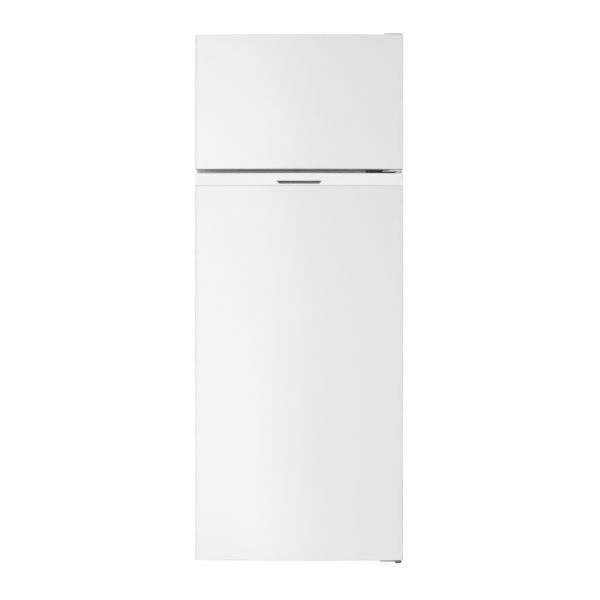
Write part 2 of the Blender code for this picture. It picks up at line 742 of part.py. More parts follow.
def compressor_rail():
    """The channel under the machine room that carries the compressor and the two rollers."""
    low, high = CABINET_BOTTOM, RAIL_TOP
    front, back, lip = 0.128, 0.262, 0.010
    path = [(front, high + lip), (front, low), (back, low), (back, high + lip)]
    rail = add("compressor_rail", prism(ribbon(path, high - low), "X", -RAIL_HALF, RAIL_HALF), zinc_steel())
    forks = bmesh.new()
    for sign in (-1, 1):
        for side in (-1, 1):
            x = sign * ROLLER_X + side * 0.0115
            block((x - 0.001, ROLLER_Y - 0.008, 0.007), (x + 0.001, ROLLER_Y + 0.008, low + 0.001), forks)
    weld(rail, forks)
    axles = bmesh.new()
    for sign in (-1, 1):
        centre = sign * ROLLER_X
        rod((ROLLER_Y, ROLLER_RADIUS), "X", 0.003, centre - 0.014, centre + 0.014, 12, axles)
    return weld(rail, axles)


def cord_gland():
    """The clamp at the back of the rail that the supply cord leaves through."""
    low = (-0.190, 0.2625, RAIL_TOP + 0.0125)
    high = (-0.170, BACK - 0.0004, RAIL_TOP + 0.0325)
    gland = add("cord_gland", block(low, high), material("black_plastic", (0.04, 0.04, 0.04), 0.5))
    middle = ((low[0] + high[0]) / 2, (low[2] + high[2]) / 2)
    return cut(gland, rod(middle, "Y", 0.0042, low[1] - 0.01, high[1] + 0.01, 12))


# Hinges


def top_hinge():
    """A stepped plate on the casing with a pin down into the freezer door."""
    low, arm = CABINET_TOP + GAP, DOOR_TOP + 0.0008
    thick = 0.0025
    path = [(-0.130, low), (-0.192, low), (-0.202, arm), (HINGE_Y - 0.012, arm)]
    plate = add("top_hinge", prism(ribbon(path, -thick), "X", 0.230, 0.272), zinc_steel())
    return weld(plate, rod((HINGE_X, HINGE_Y), "Z", PIN_RADIUS, DOOR_TOP - PIN_LENGTH, arm + thick / 2, 12))


def top_hinge_cover():
    """A moulded cover over the top hinge, stepped to clear the door."""
    high = HEIGHT
    low_cabinet, low_door = CABINET_TOP + GAP, DOOR_TOP + GAP
    rear, step, front = -0.122, -0.2065, -0.258
    outer = [(rear, low_cabinet), (step, low_cabinet), (step, low_door), (front, low_door)]
    outer += [(front, high - 0.0025), (front + 0.003, high), (rear - 0.004, high), (rear, high - 0.004)]
    cover = add("top_hinge_cover", prism(outer, "X", 0.2255, 0.2745), white_plastic())
    inner = [(-0.126, CABINET_TOP - 0.01), (-0.2045, CABINET_TOP - 0.01), (-0.2045, low_door - 0.002)]
    inner += [(-0.2565, low_door - 0.002), (-0.2565, high - 0.0014), (-0.126, high - 0.0014)]
    return cut(cover, prism(inner, "X", 0.2268, 0.2732))


def washers(bm, spans, radius=0.0065):
    for low, high in spans:
        rod((HINGE_X, HINGE_Y), "Z", radius, low, high, 16, bm)


def middle_hinge():
    """An angle bracket on the cross rail with a pin up into one door and down into the other."""
    middle = (SEAM_TOP + SEAM_BOTTOM) / 2
    low, high = SEAM_TOP - 0.0058, SEAM_TOP - 0.0007
    rear = CABINET_FRONT - GAP
    flange_front = rear - HINGE_PLATE
    arm_left, arm_right = 0.222, 0.2715
    nose = HINGE_Y - 0.0115
    plan = [(arm_left, rear), (arm_left, -0.232), (arm_left + 0.016, nose)]
    plan += arc((HINGE_X - 0.0005, HINGE_Y - 0.0015), 0.010, -90, 0, 4) + [(arm_right, rear)]
    arm = add("middle_hinge", prism(plan, "Z", low, high), zinc_steel())
    weld(arm, block((0.178, flange_front, middle - 0.0135), (0.262, rear, middle + 0.0135)))
    pins = rod((HINGE_X, HINGE_Y), "Z", PIN_RADIUS, SEAM_BOTTOM - PIN_LENGTH, SEAM_TOP + PIN_LENGTH, 12)
    weld(arm, pins)
    collars = bmesh.new()
    washers(collars, ((SEAM_BOTTOM + GAP, low + 0.0005), (high - 0.0005, SEAM_TOP - GAP)))
    return weld(arm, collars)


def lower_hinge():
    """An angle bracket with a turned-down edge, a pin up into the lower door and a nut below."""
    low, high = 0.0155, 0.0185
    rear = CABINET_FRONT - GAP
    left, right = 0.213, 0.272
    nose = HINGE_Y - 0.0115
    plan = [(left, rear), (left, nose + 0.004), (left + 0.004, nose)]
    plan += arc((HINGE_X, HINGE_Y - 0.0015), 0.010, -90, 0, 4) + [(right, rear)]
    plate = add("lower_hinge", prism(plan, "Z", low, high), zinc_steel())
    weld(plate, block((left, rear - HINGE_PLATE, low), (right, rear, FRONT_RAIL_TOP)))
    pin = rod((HINGE_X, HINGE_Y), "Z", PIN_RADIUS, low - 0.001, DOOR_BOTTOM + PIN_LENGTH, 12)
    weld(plate, pin)
    collar = bmesh.new()
    washers(collar, ((high - 0.0005, DOOR_BOTTOM - GAP),))
    weld(plate, collar)
    weld(plate, block((right - 0.003, nose + 0.010, low - 0.006), (right, rear - 0.004, low + 0.0005)))
    return weld(plate, rod((HINGE_X, HINGE_Y), "Z", 0.0075, low - 0.006, low + 0.0005, 6))


# Feet and rollers


def foot(name, sign):
    """A levelling foot: a disc, a hexagon to turn it by, and a stem up through the base pan."""
    body = pivot(f"{name}_pivot", (sign * FOOT_X, FOOT_Y, 0.0))
    centre = (sign * FOOT_X, FOOT_Y)
    stations = ((0.0165, 0.0), (0.0175, 0.002), (0.0175, 0.008), (0.0120, 0.0105))
    outlines = [(arc(centre, radius, 0, 360 - 18, 19), height) for radius, height in stations]
    disc = add(name, loft(levels(outlines, "Z")), material("foot_plastic", (0.55, 0.55, 0.56), 0.6), body)
    weld(disc, rod(centre, "Z", 0.0085, 0.010, 0.018, 6))
    return smooth(weld(disc, rod(centre, "Z", 0.0045, 0.0175, 0.0355, 12)))


def roller(name, sign):
    """A small wheel that turns on the fixed axle of the rail."""
    sides = 20
    body = pivot(f"{name}_pivot", (sign * ROLLER_X, ROLLER_Y, ROLLER_RADIUS))
    rim = ROLLER_RADIUS / math.cos(math.pi / sides)
    half = 0.0095
    centre = (ROLLER_Y, ROLLER_RADIUS)
    x = sign * ROLLER_X
    wheel = rod(centre, "X", rim, x - half, x + half, sides)
    finish = material("foot_plastic", (0.55, 0.55, 0.56), 0.6)
    made = add(name, wheel, finish, body)
    return smooth(cut(made, rod(centre, "X", 0.0037, x - 0.02, x + 0.02, sides)))


# Inside the fridge compartment


def control_housing():
    """The box under the ceiling for the thermostat, lamp and door switch, open below for the lens."""
    high = FRIDGE_CEILING - GAP
    outer = block((BOX_LEFT, BOX_FRONT, BOX_BOTTOM), (BOX_RIGHT, BOX_REAR, high))
    housing = add("control_housing", outer, white_plastic())
    inner_low = (BOX_LEFT + BOX_WALL, BOX_FRONT + BOX_WALL, BOX_BOTTOM - 0.01)
    cut(housing, block(inner_low, (BOX_RIGHT - BOX_WALL, BOX_REAR - BOX_WALL, high - BOX_WALL)))
    ends = BOX_FRONT - 0.01, BOX_FRONT + BOX_WALL + 0.01
    holes = rod((KNOB_X, KNOB_Z), "Y", 0.0046, *ends, 16)
    rod((PLUNGER_X, PLUNGER_Z), "Y", PLUNGER_RADIUS + 0.0006, *ends, 16, holes)
    return cut(housing, holes)


def lamp_lens():
    """The translucent tray that closes the bottom of the control box."""
    wall = 0.0015
    high = BOX_BOTTOM - GAP
    outer = rounded((BOX_LEFT, BOX_FRONT), (BOX_RIGHT, BOX_REAR), 0.004)
    lower = rounded((BOX_LEFT + 0.008, BOX_FRONT + 0.008), (BOX_RIGHT - 0.008, BOX_REAR - 0.008), 0.004)
    inner_high = rounded((BOX_LEFT + wall, BOX_FRONT + wall), (BOX_RIGHT - wall, BOX_REAR - wall), 0.003)
    inner_low = rounded((BOX_LEFT + 0.0095, BOX_FRONT + 0.0095), (BOX_RIGHT - 0.0095, BOX_REAR - 0.0095), 0.003)
    outlines = ((lower, high - 0.009), (outer, high), (inner_high, high), (inner_low, high - 0.0075))
    return add("lamp_lens", loft(levels(outlines, "Z")), material("lens", (0.93, 0.93, 0.90), 0.3))


def lamp_bulb():
    """A small bulb lying in its holder, inside the control box."""
    stations = ((0.0105, 0.0), (0.0105, 0.018), (0.0125, 0.020), (0.0150, 0.034), (0.0135, 0.046), (0.0060, 0.054))
    start = BOX_LEFT + 0.006
    centre = (-0.100, KNOB_Z - 0.004)
    outlines = [(arc(centre, radius, 0, 360 - 24, 14), start + along) for radius, along in stations]
    return smooth(add("lamp_bulb", loft(levels(outlines, "X")), material("bulb_glass", (0.95, 0.94, 0.88), 0.1)))


def thermostat():
    """The capillary thermostat behind the knob."""
    low = (KNOB_X - 0.022, BOX_FRONT + BOX_WALL + 0.0185, KNOB_Z - 0.014)
    high = (KNOB_X + 0.022, BOX_FRONT + BOX_WALL + 0.050, KNOB_Z + 0.014)
    return add("thermostat", block(low, high), zinc_steel())


def temperature_knob():
    """The dial, with a raised grip bar and a shaft back into the thermostat."""
    body = pivot("knob_pivot", (KNOB_X, BOX_FRONT, KNOB_Z))
    centre = (KNOB_X, KNOB_Z)
    face = BOX_FRONT - GAP
    stations = ((KNOB_RADIUS, face), (KNOB_RADIUS, face - 0.004), (KNOB_RADIUS - 0.002, face - 0.006))
    outlines = [(arc(centre, radius, 0, 360 - 15, 23), y) for radius, y in stations]
    knob = add("temperature_knob", loft(levels(outlines, "Y")), white_plastic(), body)
    weld(knob, block((KNOB_X - 0.003, face - 0.014, KNOB_Z - 0.015), (KNOB_X + 0.003, face - 0.005, KNOB_Z + 0.015)))
    return smooth(weld(knob, rod(centre, "Y", 0.0036, face - 0.001, BOX_FRONT + BOX_WALL + 0.018, 12)))


def switch_plunger():
    """The button that the closed door holds in, with a collar that keeps it in the box."""
    body = pivot("plunger_pivot", (PLUNGER_X, BOX_FRONT, PLUNGER_Z))
    centre = (PLUNGER_X, PLUNGER_Z)
    tip = DOOR_BACK + DYKE + 0.0005
    stem = add("switch_plunger", rod(centre, "Y", PLUNGER_RADIUS, tip, BOX_FRONT + 0.020, 12), white_plastic(), body)
    collar = BOX_FRONT + BOX_WALL + 0.009
    return smooth(weld(stem, rod(centre, "Y", 0.0055, collar, collar + 0.002, 12)))


def pane(name, level, front):
    """A toughened glass shelf."""
    finish = material("glass", (0.80, 0.90, 0.86), 0.05)
    return add(name, block((-0.2295, front, level), (0.2295, FRIDGE_REAR - 0.005, level + 0.004)), finish)


def shelf_trim(name, level, front):
    """The moulded nosing clipped over the front edge of a glass shelf."""
    grip, wall = 0.010, 0.002
    low, high = level - GAP - wall, level + 0.004 + GAP + wall
    nose = front - GAP - 0.004
    outline = [(front + grip, low), (nose + 0.002, low), (nose, low + 0.003), (nose, high - 0.003), (nose + 0.002, high)]
    outline += [(front + grip, high), (front + grip, high - wall), (front - GAP, high - wall)]
    outline += [(front - GAP, low + wall), (front + grip, low + wall)]
    return add(name, prism(outline, "X", -0.2295, 0.2295), white_plastic())


def shelves():
    for number, level in enumerate(SHELF_LEVELS, 1):
        pane(f"glass_shelf_{number}", level, -0.100)
        shelf_trim(f"shelf_trim_{number}", level, -0.100)
    cover = HUMP_TOP + GAP
    pane("crisper_cover", cover, -0.110)
    shelf_trim("crisper_cover_trim", cover, -0.110)


def freezer_shelf():
    """A wire shelf: a rectangular frame with wires from front to back."""
    front, rear, half = -0.125, 0.205, 0.2165
    level, bar, wire = FREEZER_SHELF_LEVEL, 0.005, 0.0013
    outer = rounded((-half, front), (half, rear), 0.012)
    inner = rounded((-half + bar, front + bar), (half - bar, rear - bar), 0.009)
    outlines = ((outer, level), (outer, level + bar), (inner, level + bar), (inner, level))
    shelf = add("freezer_shelf", loft(levels(outlines, "Z"), ring=True), material("coated_wire", (0.9, 0.9, 0.9), 0.4))
    wires = bmesh.new()
    count = 15
    for i in range(1, count):
        x = -half + 2 * half * i / count
        rod((x, level + bar / 2), "Y", wire, front + bar / 2, rear - bar / 2, 6, wires)
    across = {"X": (-half + bar / 2, half - bar / 2)}
    weld(shelf, wires)
    stay = rod((0.04, level + bar / 2), "X", 0.0018, *across["X"], 6)
    return weld(shelf, stay)


def crisper_drawer():
    """The vegetable drawer, with a grip lip along its front edge."""
    body = pivot("crisper_pivot", (0, -0.100, FRIDGE_FLOOR))
    low, high = (-0.224, -0.100, FRIDGE_FLOOR + 0.001), (0.224, 0.062, 0.258)
    drawer = add("crisper_drawer", open_box(low, high, 0.002, 0.004, 0.014), clear_plastic(), body)
    lip = block((-0.150, low[1] + 0.0005, high[2] - 0.012), (0.150, low[1] + 0.014, high[2] - 0.0005))
    return smooth(weld(drawer, lip))


def clear_scene():
    for obj in list(bpy.data.objects):
        bpy.data.objects.remove(obj)


def main():
    clear_scene()
    side_panel("left_side_panel", -1)
    side_panel("right_side_panel", 1)
    top_panel()
    back_panel()
    base_pan()
    mullion_rail()
    fridge_liner()
    freezer_liner()
    casing_foam()
    evaporator("freezer_evaporator", FREEZER_PLATE, 6)
    evaporator("fridge_evaporator", FRIDGE_PLATE, 8)
    compressor()
    starter_box()
    evaporation_tray()
    filter_dryer()
    suction_pipe()
    condenser_tube()
    compressor_rail()
    cord_gland()
    top_hinge()
    top_hinge_cover()
    middle_hinge()
    lower_hinge()
    for side, sign in (("left", -1), ("right", 1)):
        foot(f"{side}_foot", sign)
        roller(f"{side}_roller", sign)
    control_housing()
    lamp_lens()
    lamp_bulb()
    thermostat()
    temperature_knob()
    switch_plunger()
    shelves()
    freezer_shelf()
    crisper_drawer()
    freezer_door()
    fridge_door()


main()
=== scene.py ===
"""Looks of a top freezer refrigerator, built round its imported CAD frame.

Metres, +Z up. The front faces -Y and +X is to the right. Each visible piece is either a refined copy
of a CAD node or a finer one made from the node's own box, and every material is procedural.
"""

import json
import math

import bmesh
import bpy
from mathutils import Matrix, Vector


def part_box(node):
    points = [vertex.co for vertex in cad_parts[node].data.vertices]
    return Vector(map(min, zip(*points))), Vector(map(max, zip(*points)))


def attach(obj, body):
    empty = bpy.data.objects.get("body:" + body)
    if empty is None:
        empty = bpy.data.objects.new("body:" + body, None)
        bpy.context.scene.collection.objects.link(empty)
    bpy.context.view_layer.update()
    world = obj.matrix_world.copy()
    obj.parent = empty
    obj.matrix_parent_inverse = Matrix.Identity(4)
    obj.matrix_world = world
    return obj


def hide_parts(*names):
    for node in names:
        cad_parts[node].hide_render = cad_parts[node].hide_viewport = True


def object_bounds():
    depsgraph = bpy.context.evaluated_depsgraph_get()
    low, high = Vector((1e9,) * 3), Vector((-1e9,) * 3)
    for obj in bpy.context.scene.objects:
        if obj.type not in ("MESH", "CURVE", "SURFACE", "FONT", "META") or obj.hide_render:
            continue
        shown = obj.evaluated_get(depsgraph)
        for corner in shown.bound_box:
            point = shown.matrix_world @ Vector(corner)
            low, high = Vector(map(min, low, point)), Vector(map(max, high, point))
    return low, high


# Camera: level, straight in front, with the lens shifted so that verticals stay parallel
CAMERA_DISTANCE = 3.5  # from the middle of the doors
CAMERA_HEIGHT = 0.780
VIEW_WIDTH = 1.578  # how much of the doors' plane the picture takes in
VIEW_CENTRE_X, VIEW_CENTRE_Z = 0.0021, 0.7089
SENSOR = 0.036

# Light: name, place, target, width, height, power and whether it shows in gloss
WORLD_LIGHT, WORLD_SEEN = 0.42, 1.05
FLOOR_GLOW = 0.72
LIGHTS = (
    ("key_light", (-1.40, -4.4, 0.7), (-1.40, 0.0, 0.7), 2.5, 5.4, 72, True),
    ("front_fill", (0.0, -9.0, 1.25), (0.0, 0.0, 1.05), 1.4, 1.0, 60, False),
    ("low_fill", (0.0, -5.6, -2.0), (0.0, 0.0, 0.9), 1.6, 1.2, 72, False),
    ("left_fill", (-3.2, -1.2, 1.0), (0.0, 0.0, 0.8), 1.2, 2.4, 22, False),
    ("right_fill", (3.2, -1.2, 1.0), (0.0, 0.0, 0.8), 1.2, 2.4, 20, False),
    ("back_light", (1.2, 4.4, 1.6), (0.0, 0.0, 0.7), 2.6, 2.6, 60, True),
)

# Doors
BOW, CORNER = 0.012, 0.006
SHEET, SHELL_EDGE = 0.0009, 0.0003
LIP = 0.013
DOOR_BACK = -0.2175
DYKE, DYKE_GAP, PANEL_RECESS = 0.030, 0.012, 0.008

# Compartments: half width, floor, ceiling and rear wall, as the liners' inner faces
FREEZER = (0.220, 1.079, 1.355, 0.2175)
FRIDGE = (0.232, 0.075, 1.018, 0.2325)
HUMP_FRONT, HUMP_TOP = 0.0675, 0.270
LINER_RADIUS = 0.012
LEDGE = 0.006
LEDGE_LEVELS = (0.385, 0.505, 0.625, 0.745, 0.865)
COLD_PLATE = (0.170, 0.450, 0.940)
LINER_SHEET = 0.0014

# Crisper's grip and the dial, lens and lamp of the control box
GRIP_HALF, GRIP_STEPS = 0.148, 24
DIAL_MARKS, DIAL_SWEEP, DIAL_RADIUS = 7, 270, 0.0215
KNOB_SIDES, KNOB_FLUTES = 96, 24
LENS_RIBS = 26

# Hinges and rear sheet
FLANGE_SCREWS = (0.1875, 0.2085)
# Slots in the top hinge cover, across and then up, whose dark floors are painted shadow
COVER_SHADOW_SLOTS = ((0.2500, 0.2600), (0.2665, 0.2715))
COVER_SHADOW_SLOT_LEVELS = (1.4099, 1.4122)
PLUG_PLACES, PLUG_LEVEL = (-0.12, 0.12), 0.36

# Machine room
SHELL_RADIUS, SHELL_BASE = 0.084, 0.046
SHELL_SQUARENESS = 2.6  # 2 would make the compressor an ellipsoid
SHELL_RINGS, SHELL_SIDES = 32, 64
PLATE_LEVEL = 0.0445
MOUNT_REACH = (0.084, 0.050)
STUB_REACH, STUB_LEVEL = 0.030, 0.125
COIL_TURNS, COIL_STEPS, COIL_RADIUS, COIL_PITCH = 3, 14, 0.014, 0.0035

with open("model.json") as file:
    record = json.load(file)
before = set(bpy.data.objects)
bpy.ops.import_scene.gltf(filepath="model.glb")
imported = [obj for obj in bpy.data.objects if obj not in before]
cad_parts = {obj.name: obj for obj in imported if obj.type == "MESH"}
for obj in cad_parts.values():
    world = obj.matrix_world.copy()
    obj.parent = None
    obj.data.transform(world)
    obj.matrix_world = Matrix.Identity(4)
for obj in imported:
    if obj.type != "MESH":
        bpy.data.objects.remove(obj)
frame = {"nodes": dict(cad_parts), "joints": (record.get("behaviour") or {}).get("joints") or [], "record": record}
nodes = frame["nodes"]
cad_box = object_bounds()
body_of_node = {n: b for b, members in frame["record"]["behaviour"]["bodies"].items() for n in members}
pivots = {j["child"]: Vector(j["pos_m"]) for j in frame["joints"] if "pos_m" in j}
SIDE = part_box("freezer_door_skin")[1].x
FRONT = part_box("freezer_door_skin")[0].y


# Materials


class Finish:
    """A Principled material, with helpers that lay procedural detail over it."""

    def __init__(self, name, colour, roughness, metallic=0.0, **sockets):
        self.material = bpy.data.materials.new(name)
        self.material.use_nodes = True
        self.tree = self.material.node_tree
        self.shader = self.tree.nodes["Principled BSDF"]
        self.colour = (*colour, 1.0)
        self.shader.inputs["Base Color"].default_value = self.colour
        self.shader.inputs["Roughness"].default_value = roughness
        self.shader.inputs["Metallic"].default_value = metallic
        for socket, value in sockets.items():
            self.shader.inputs[socket.replace("_", " ")].default_value = value
        self.normal = None

    def node(self, kind, **settings):
        made = self.tree.nodes.new(kind)
        for key, value in settings.items():
            setattr(made, key, value)
        return made

    def coordinates(self, stretch):
        place = self.node("ShaderNodeMapping")
        place.inputs["Scale"].default_value = stretch
        source = self.node("ShaderNodeTexCoord")
        self.tree.links.new(source.outputs["Object"], place.inputs["Vector"])
        return place.outputs["Vector"]

    def noise(self, size, detail=2.0, stretch=(1, 1, 1)):
        """A noise whose features are about size metres across."""
        texture = self.node("ShaderNodeTexNoise")
        texture.inputs["Scale"].default_value = 1 / size
        texture.inputs["Detail"].default_value = detail
        self.tree.links.new(self.coordinates(stretch), texture.inputs["Vector"])
        return texture.outputs["Fac"]

    def cells(self, size, feature="F1", output="Distance", stretch=(1, 1, 1)):
        texture = self.node("ShaderNodeTexVoronoi", feature=feature)
        texture.inputs["Scale"].default_value = 1 / size
        self.tree.links.new(self.coordinates(stretch), texture.inputs["Vector"])
        return texture.outputs[output]

    def ramp(self, value, stops):
        made = self.node("ShaderNodeValToRGB")
        elements = made.color_ramp.elements
        while len(elements) < len(stops):
            elements.new(0.5)
        for element, (place, colour) in zip(elements, stops):
            element.position = place
            element.color = (*colour, 1.0) if isinstance(colour, tuple) else (colour, colour, colour, 1.0)
        self.tree.links.new(value, made.inputs["Fac"])
        return made.outputs["Color"]

    def mottle(self, other, value, low=0.35, high=0.65):
        """Base colour that drifts from the main colour to another with value."""
        stops = ((low, tuple(self.colour[:3])), (high, other))
        self.tree.links.new(self.ramp(value, stops), self.shader.inputs["Base Color"])
        return self

    def roughen(self, low, high, value):
        stops = ((0.3, low), (0.7, high))
        self.tree.links.new(self.ramp(value, stops), self.shader.inputs["Roughness"])
        return self

    def bump(self, value, depth, strength=1.0):
        """Surface relief of that depth in metres, laid over any earlier relief."""
        made = self.node("ShaderNodeBump")
        made.inputs["Distance"].default_value = depth
        made.inputs["Strength"].default_value = strength
        self.tree.links.new(value, made.inputs["Height"])
        if self.normal is not None:
            self.tree.links.new(self.normal, made.inputs["Normal"])
        self.normal = made.outputs["Normal"]
        self.tree.links.new(self.normal, self.shader.inputs["Normal"])
        return self


def enamel(name, colour):
    """Baked enamel on sheet steel: a faint orange peel under a clear, slightly uneven gloss."""
    made = Finish(name, colour, 0.30, Coat_Weight=0.6, Coat_Roughness=0.20)
    drift = made.noise(0.35, 3.0)
    made.mottle(tuple(c * 0.985 for c in colour), drift)
    made.roughen(0.28, 0.32, made.noise(0.09, 2.0))
    made.bump(made.noise(0.0016, 1.0), 0.000005, 0.4)
    return made.bump(made.noise(0.22, 1.0), 0.00018, 0.30)


def textured_steel(name, colour):
    """Pre-painted sheet with a fine leather grain, as used for a casing's sides and lid."""
    made = Finish(name, colour, 0.42, Coat_Weight=0.15, Coat_Roughness=0.3)
    made.mottle(tuple(c * 0.975 for c in colour), made.noise(0.25, 3.0))
    made.roughen(0.38, 0.50, made.noise(0.05, 3.0))
    return made.bump(made.cells(0.0026, "SMOOTH_F1"), 0.00010, 0.55)


def moulded(name, colour, rough, grain=0.0007, depth=0.000035, **sockets):
    """Injection moulded plastic with a spark-eroded grain and faint handling marks."""
    made = Finish(name, colour, rough, **sockets)
    made.mottle(tuple(c * 0.97 for c in colour), made.noise(0.12, 4.0))
    made.roughen(rough - 0.05, rough + 0.07, made.noise(0.03, 3.0))
    return made.bump(made.noise(grain, 2.0), depth, 0.6)


def formed(name, colour):
    """Vacuum formed liner sheet: glossy, gently wavy, with a trace of pebble."""
    made = Finish(name, colour, 0.30, Coat_Weight=0.25, Coat_Roughness=0.2)
    made.mottle(tuple(c * 0.975 for c in colour), made.noise(0.18, 3.0))
    made.roughen(0.29, 0.35, made.noise(0.09, 2.0))
    made.bump(made.noise(0.0024, 1.0), 0.000010, 0.5)
    return made.bump(made.noise(0.12, 1.0), 0.0002, 0.20)


def plated(name, colour, rough, metallic=1.0):
    """Zinc plating: blotched, a little yellowed in places, with rolling marks."""
    made = Finish(name, colour, rough, metallic)
    made.mottle((colour[0] * 0.86, colour[1] * 0.84, colour[2] * 0.76), made.noise(0.018, 5.0))
    made.roughen(rough - 0.08, rough + 0.16, made.noise(0.010, 4.0))
    return made.bump(made.noise(0.0012, 2.0, (1, 0.06, 1)), 0.00002, 0.5)


def spangled(name, colour):
    """Galvanised sheet, with its crystals as patches of colour and gloss."""
    made = Finish(name, colour, 0.50, 0.75)
    crystal = made.cells(0.007, "F1", "Color")
    made.mottle(tuple(c * 0.90 for c in colour), crystal, 0.2, 0.9)
    made.roughen(0.46, 0.58, crystal)
    return made.bump(made.noise(0.004, 3.0), 0.00003, 0.4)


def clear(name, colour, rough, **sockets):
    """See-through moulding or glass, with a light haze of handling marks."""
    made = Finish(name, colour, rough, Transmission_Weight=1.0, **sockets)
    made.roughen(rough, rough + 0.08, made.noise(0.03, 4.0))
    return made.bump(made.noise(0.05, 2.0), 0.0001, 0.25)


def make_materials():
    white = (0.80, 0.80, 0.805)
    made = {
        "door": enamel("door_enamel", (0.785, 0.785, 0.79)),
        "casing": textured_steel("casing_enamel", white),
        "rail": enamel("rail_enamel", white),
        "back": spangled("back_sheet", (0.66, 0.67, 0.69)),
        "zinc": plated("zinc_plate", (0.80, 0.80, 0.81), 0.36, 0.6),
        # A lighter, less metallic copy of the zinc for the middle hinge's arm: painted light where the arm catches
        # light at the front of the door gap
        "arm": plated("zinc_painted_light", (0.88, 0.88, 0.89), 0.45, 0.20),
        # Dark steel grey for the lower hinge, and as painted shadow on the floors of the top hinge cover's slots
        "hinge": plated("dark_steel_and_painted_shadow", (0.24, 0.24, 0.25), 0.42, 0.5),
        "screw": plated("screw_steel", (0.42, 0.42, 0.43), 0.30),
        # Dark steel as painted shade: on the middle hinge's flange, deep in the gap between the doors, and on the
        # screws and wide washers over it
        "dark": plated("dark_steel_painted_shade", (0.20, 0.20, 0.205), 0.45, 0.7),
        "cap": moulded("white_moulding", (0.85, 0.85, 0.855), 0.58, Specular_IOR_Level=0.2),
        "box": moulded("control_moulding", (0.82, 0.82, 0.82), 0.45),
        "liner": formed("liner_sheet", (0.80, 0.80, 0.81)),
        "grip": moulded("grip_grey", (0.55, 0.555, 0.56), 0.55),
        "print": moulded("printed_grey", (0.16, 0.17, 0.19), 0.5),
        "tray": moulded("tray_moulding", (0.62, 0.63, 0.64), 0.5),
        "black": moulded("black_moulding", (0.022, 0.022, 0.024), 0.5),
        "foot": moulded("foot_moulding", (0.34, 0.34, 0.35), 0.55),
        "bin": clear("clear_moulding", (0.965, 0.982, 0.99), 0.06, IOR=1.40),
        "glass": clear("shelf_glass", (0.90, 0.965, 0.94), 0.02, IOR=1.5),
        "lens": clear("lens_moulding", (0.95, 0.95, 0.92), 0.28, IOR=1.49),
        "bulb": clear("bulb_glass", (0.98, 0.98, 0.95), 0.03, IOR=1.45),
    }
    gasket = Finish("gasket_vinyl", (0.72, 0.72, 0.715), 0.62, Sheen_Weight=0.15)
    gasket.mottle((0.70, 0.70, 0.69), gasket.noise(0.09, 2.0))
    made["gasket"] = gasket.bump(gasket.noise(0.0009, 3.0), 0.00004, 0.6)
    enamelled = Finish("compressor_enamel", (0.020, 0.020, 0.022), 0.36, Coat_Weight=0.3)
    enamelled.mottle((0.05, 0.048, 0.045), enamelled.noise(0.03, 5.0), 0.45, 0.80)
    enamelled.roughen(0.28, 0.55, enamelled.noise(0.02, 4.0))
    made["compressor"] = enamelled.bump(enamelled.noise(0.0022, 2.0), 0.00008, 0.7)
    copper = Finish("copper_pipe", (0.72, 0.36, 0.22), 0.30, 1.0)
    copper.mottle((0.34, 0.17, 0.11), copper.noise(0.012, 5.0), 0.40, 0.75)
    made["copper"] = copper.roughen(0.24, 0.50, copper.noise(0.006, 3.0))
    brass = Finish("socket_brass", (0.78, 0.60, 0.30), 0.30, 1.0)
    made["brass"] = brass.mottle((0.55, 0.40, 0.20), brass.noise(0.006, 4.0))
    plate = Finish("evaporator_aluminium", (0.78, 0.79, 0.80), 0.38, 1.0)
    made["aluminium"] = plate.bump(plate.noise(0.002, 2.0, (0.05, 1, 1)), 0.00002, 0.5)
    wire = Finish("coated_wire", (0.80, 0.80, 0.80), 0.38, Coat_Weight=0.3)
    wire.mottle((0.75, 0.75, 0.74), wire.noise(0.05, 3.0))
    made["wire"] = wire.bump(wire.noise(0.0030, 2.0), 0.00006, 0.5)
    foam = Finish("foam", (0.80, 0.70, 0.42), 0.95)
    foam.mottle((0.72, 0.60, 0.34), foam.noise(0.02, 4.0))
    made["foam"] = foam.bump(foam.cells(0.0018), 0.0003, 0.8)
    rubber = Finish("mount_rubber", (0.030, 0.030, 0.030), 0.80)
    made["rubber"] = rubber.bump(rubber.noise(0.0015, 3.0), 0.0001, 0.6)
    return {key: finish.material for key, finish in made.items()}


# Shapes


def arc(centre, radius, start, end, steps):
    angles = [math.radians(start + (end - start) * i / steps) for i in range(steps + 1)]
    return [(centre[0] + radius * math.cos(a), centre[1] + radius * math.sin(a)) for a in angles]


def rounded(low, high, radius, steps=8):
    """A rectangle with rounded corners, counterclockwise."""
    (u0, v0), (u1, v1) = low, high
    return (
        arc((u1 - radius, v0 + radius), radius, -90, 0, steps)
        + arc((u1 - radius, v1 - radius), radius, 0, 90, steps)
        + arc((u0 + radius, v1 - radius), radius, 90, 180, steps)
        + arc((u0 + radius, v0 + radius), radius, 180, 270, steps)
    )


def in_space(point, axis, height):
    """A flat point lifted to that height along an axis."""
    u, v = point
    return {"X": (height, u, v), "Y": (u, height, v), "Z": (u, v, height)}[axis]


def strip(bm, rows, closed=True):
    """Quads between neighbouring rows of points."""
    made = [[bm.verts.new(p) for p in row] for row in rows]
    for a, b in zip(made, made[1:]):
        for i in range(len(a) if closed else len(a) - 1):
            j = (i + 1) % len(a)
            bm.faces.new((a[i], a[j], b[j], b[i]))
    return made


def solid(loops, ring=False):
    """A closed solid through loops of equal count, capped or joined end to end."""
    bm = bmesh.new()
    rows = strip(bm, loops)
    if ring:
        last, first = rows[-1], rows[0]
        for i in range(len(last)):
            j = (i + 1) % len(last)
            bm.faces.new((last[i], last[j], first[j], first[i]))
    else:
        bm.faces.new(rows[0])
        bm.faces.new(rows[-1])
    bmesh.ops.recalc_face_normals(bm, faces=bm.faces)
    return bm


def turned(profile, centre, axis, sides=40):
    """A turned solid from pairs of radius and height along an axis through centre."""
    turn = 360 / sides
    loops = []
    for radius, height in profile:
        ring = arc(centre, radius, 0, 360 - turn, sides - 1)
        loops.append([in_space(p, axis, height) for p in ring])
    return solid(loops)


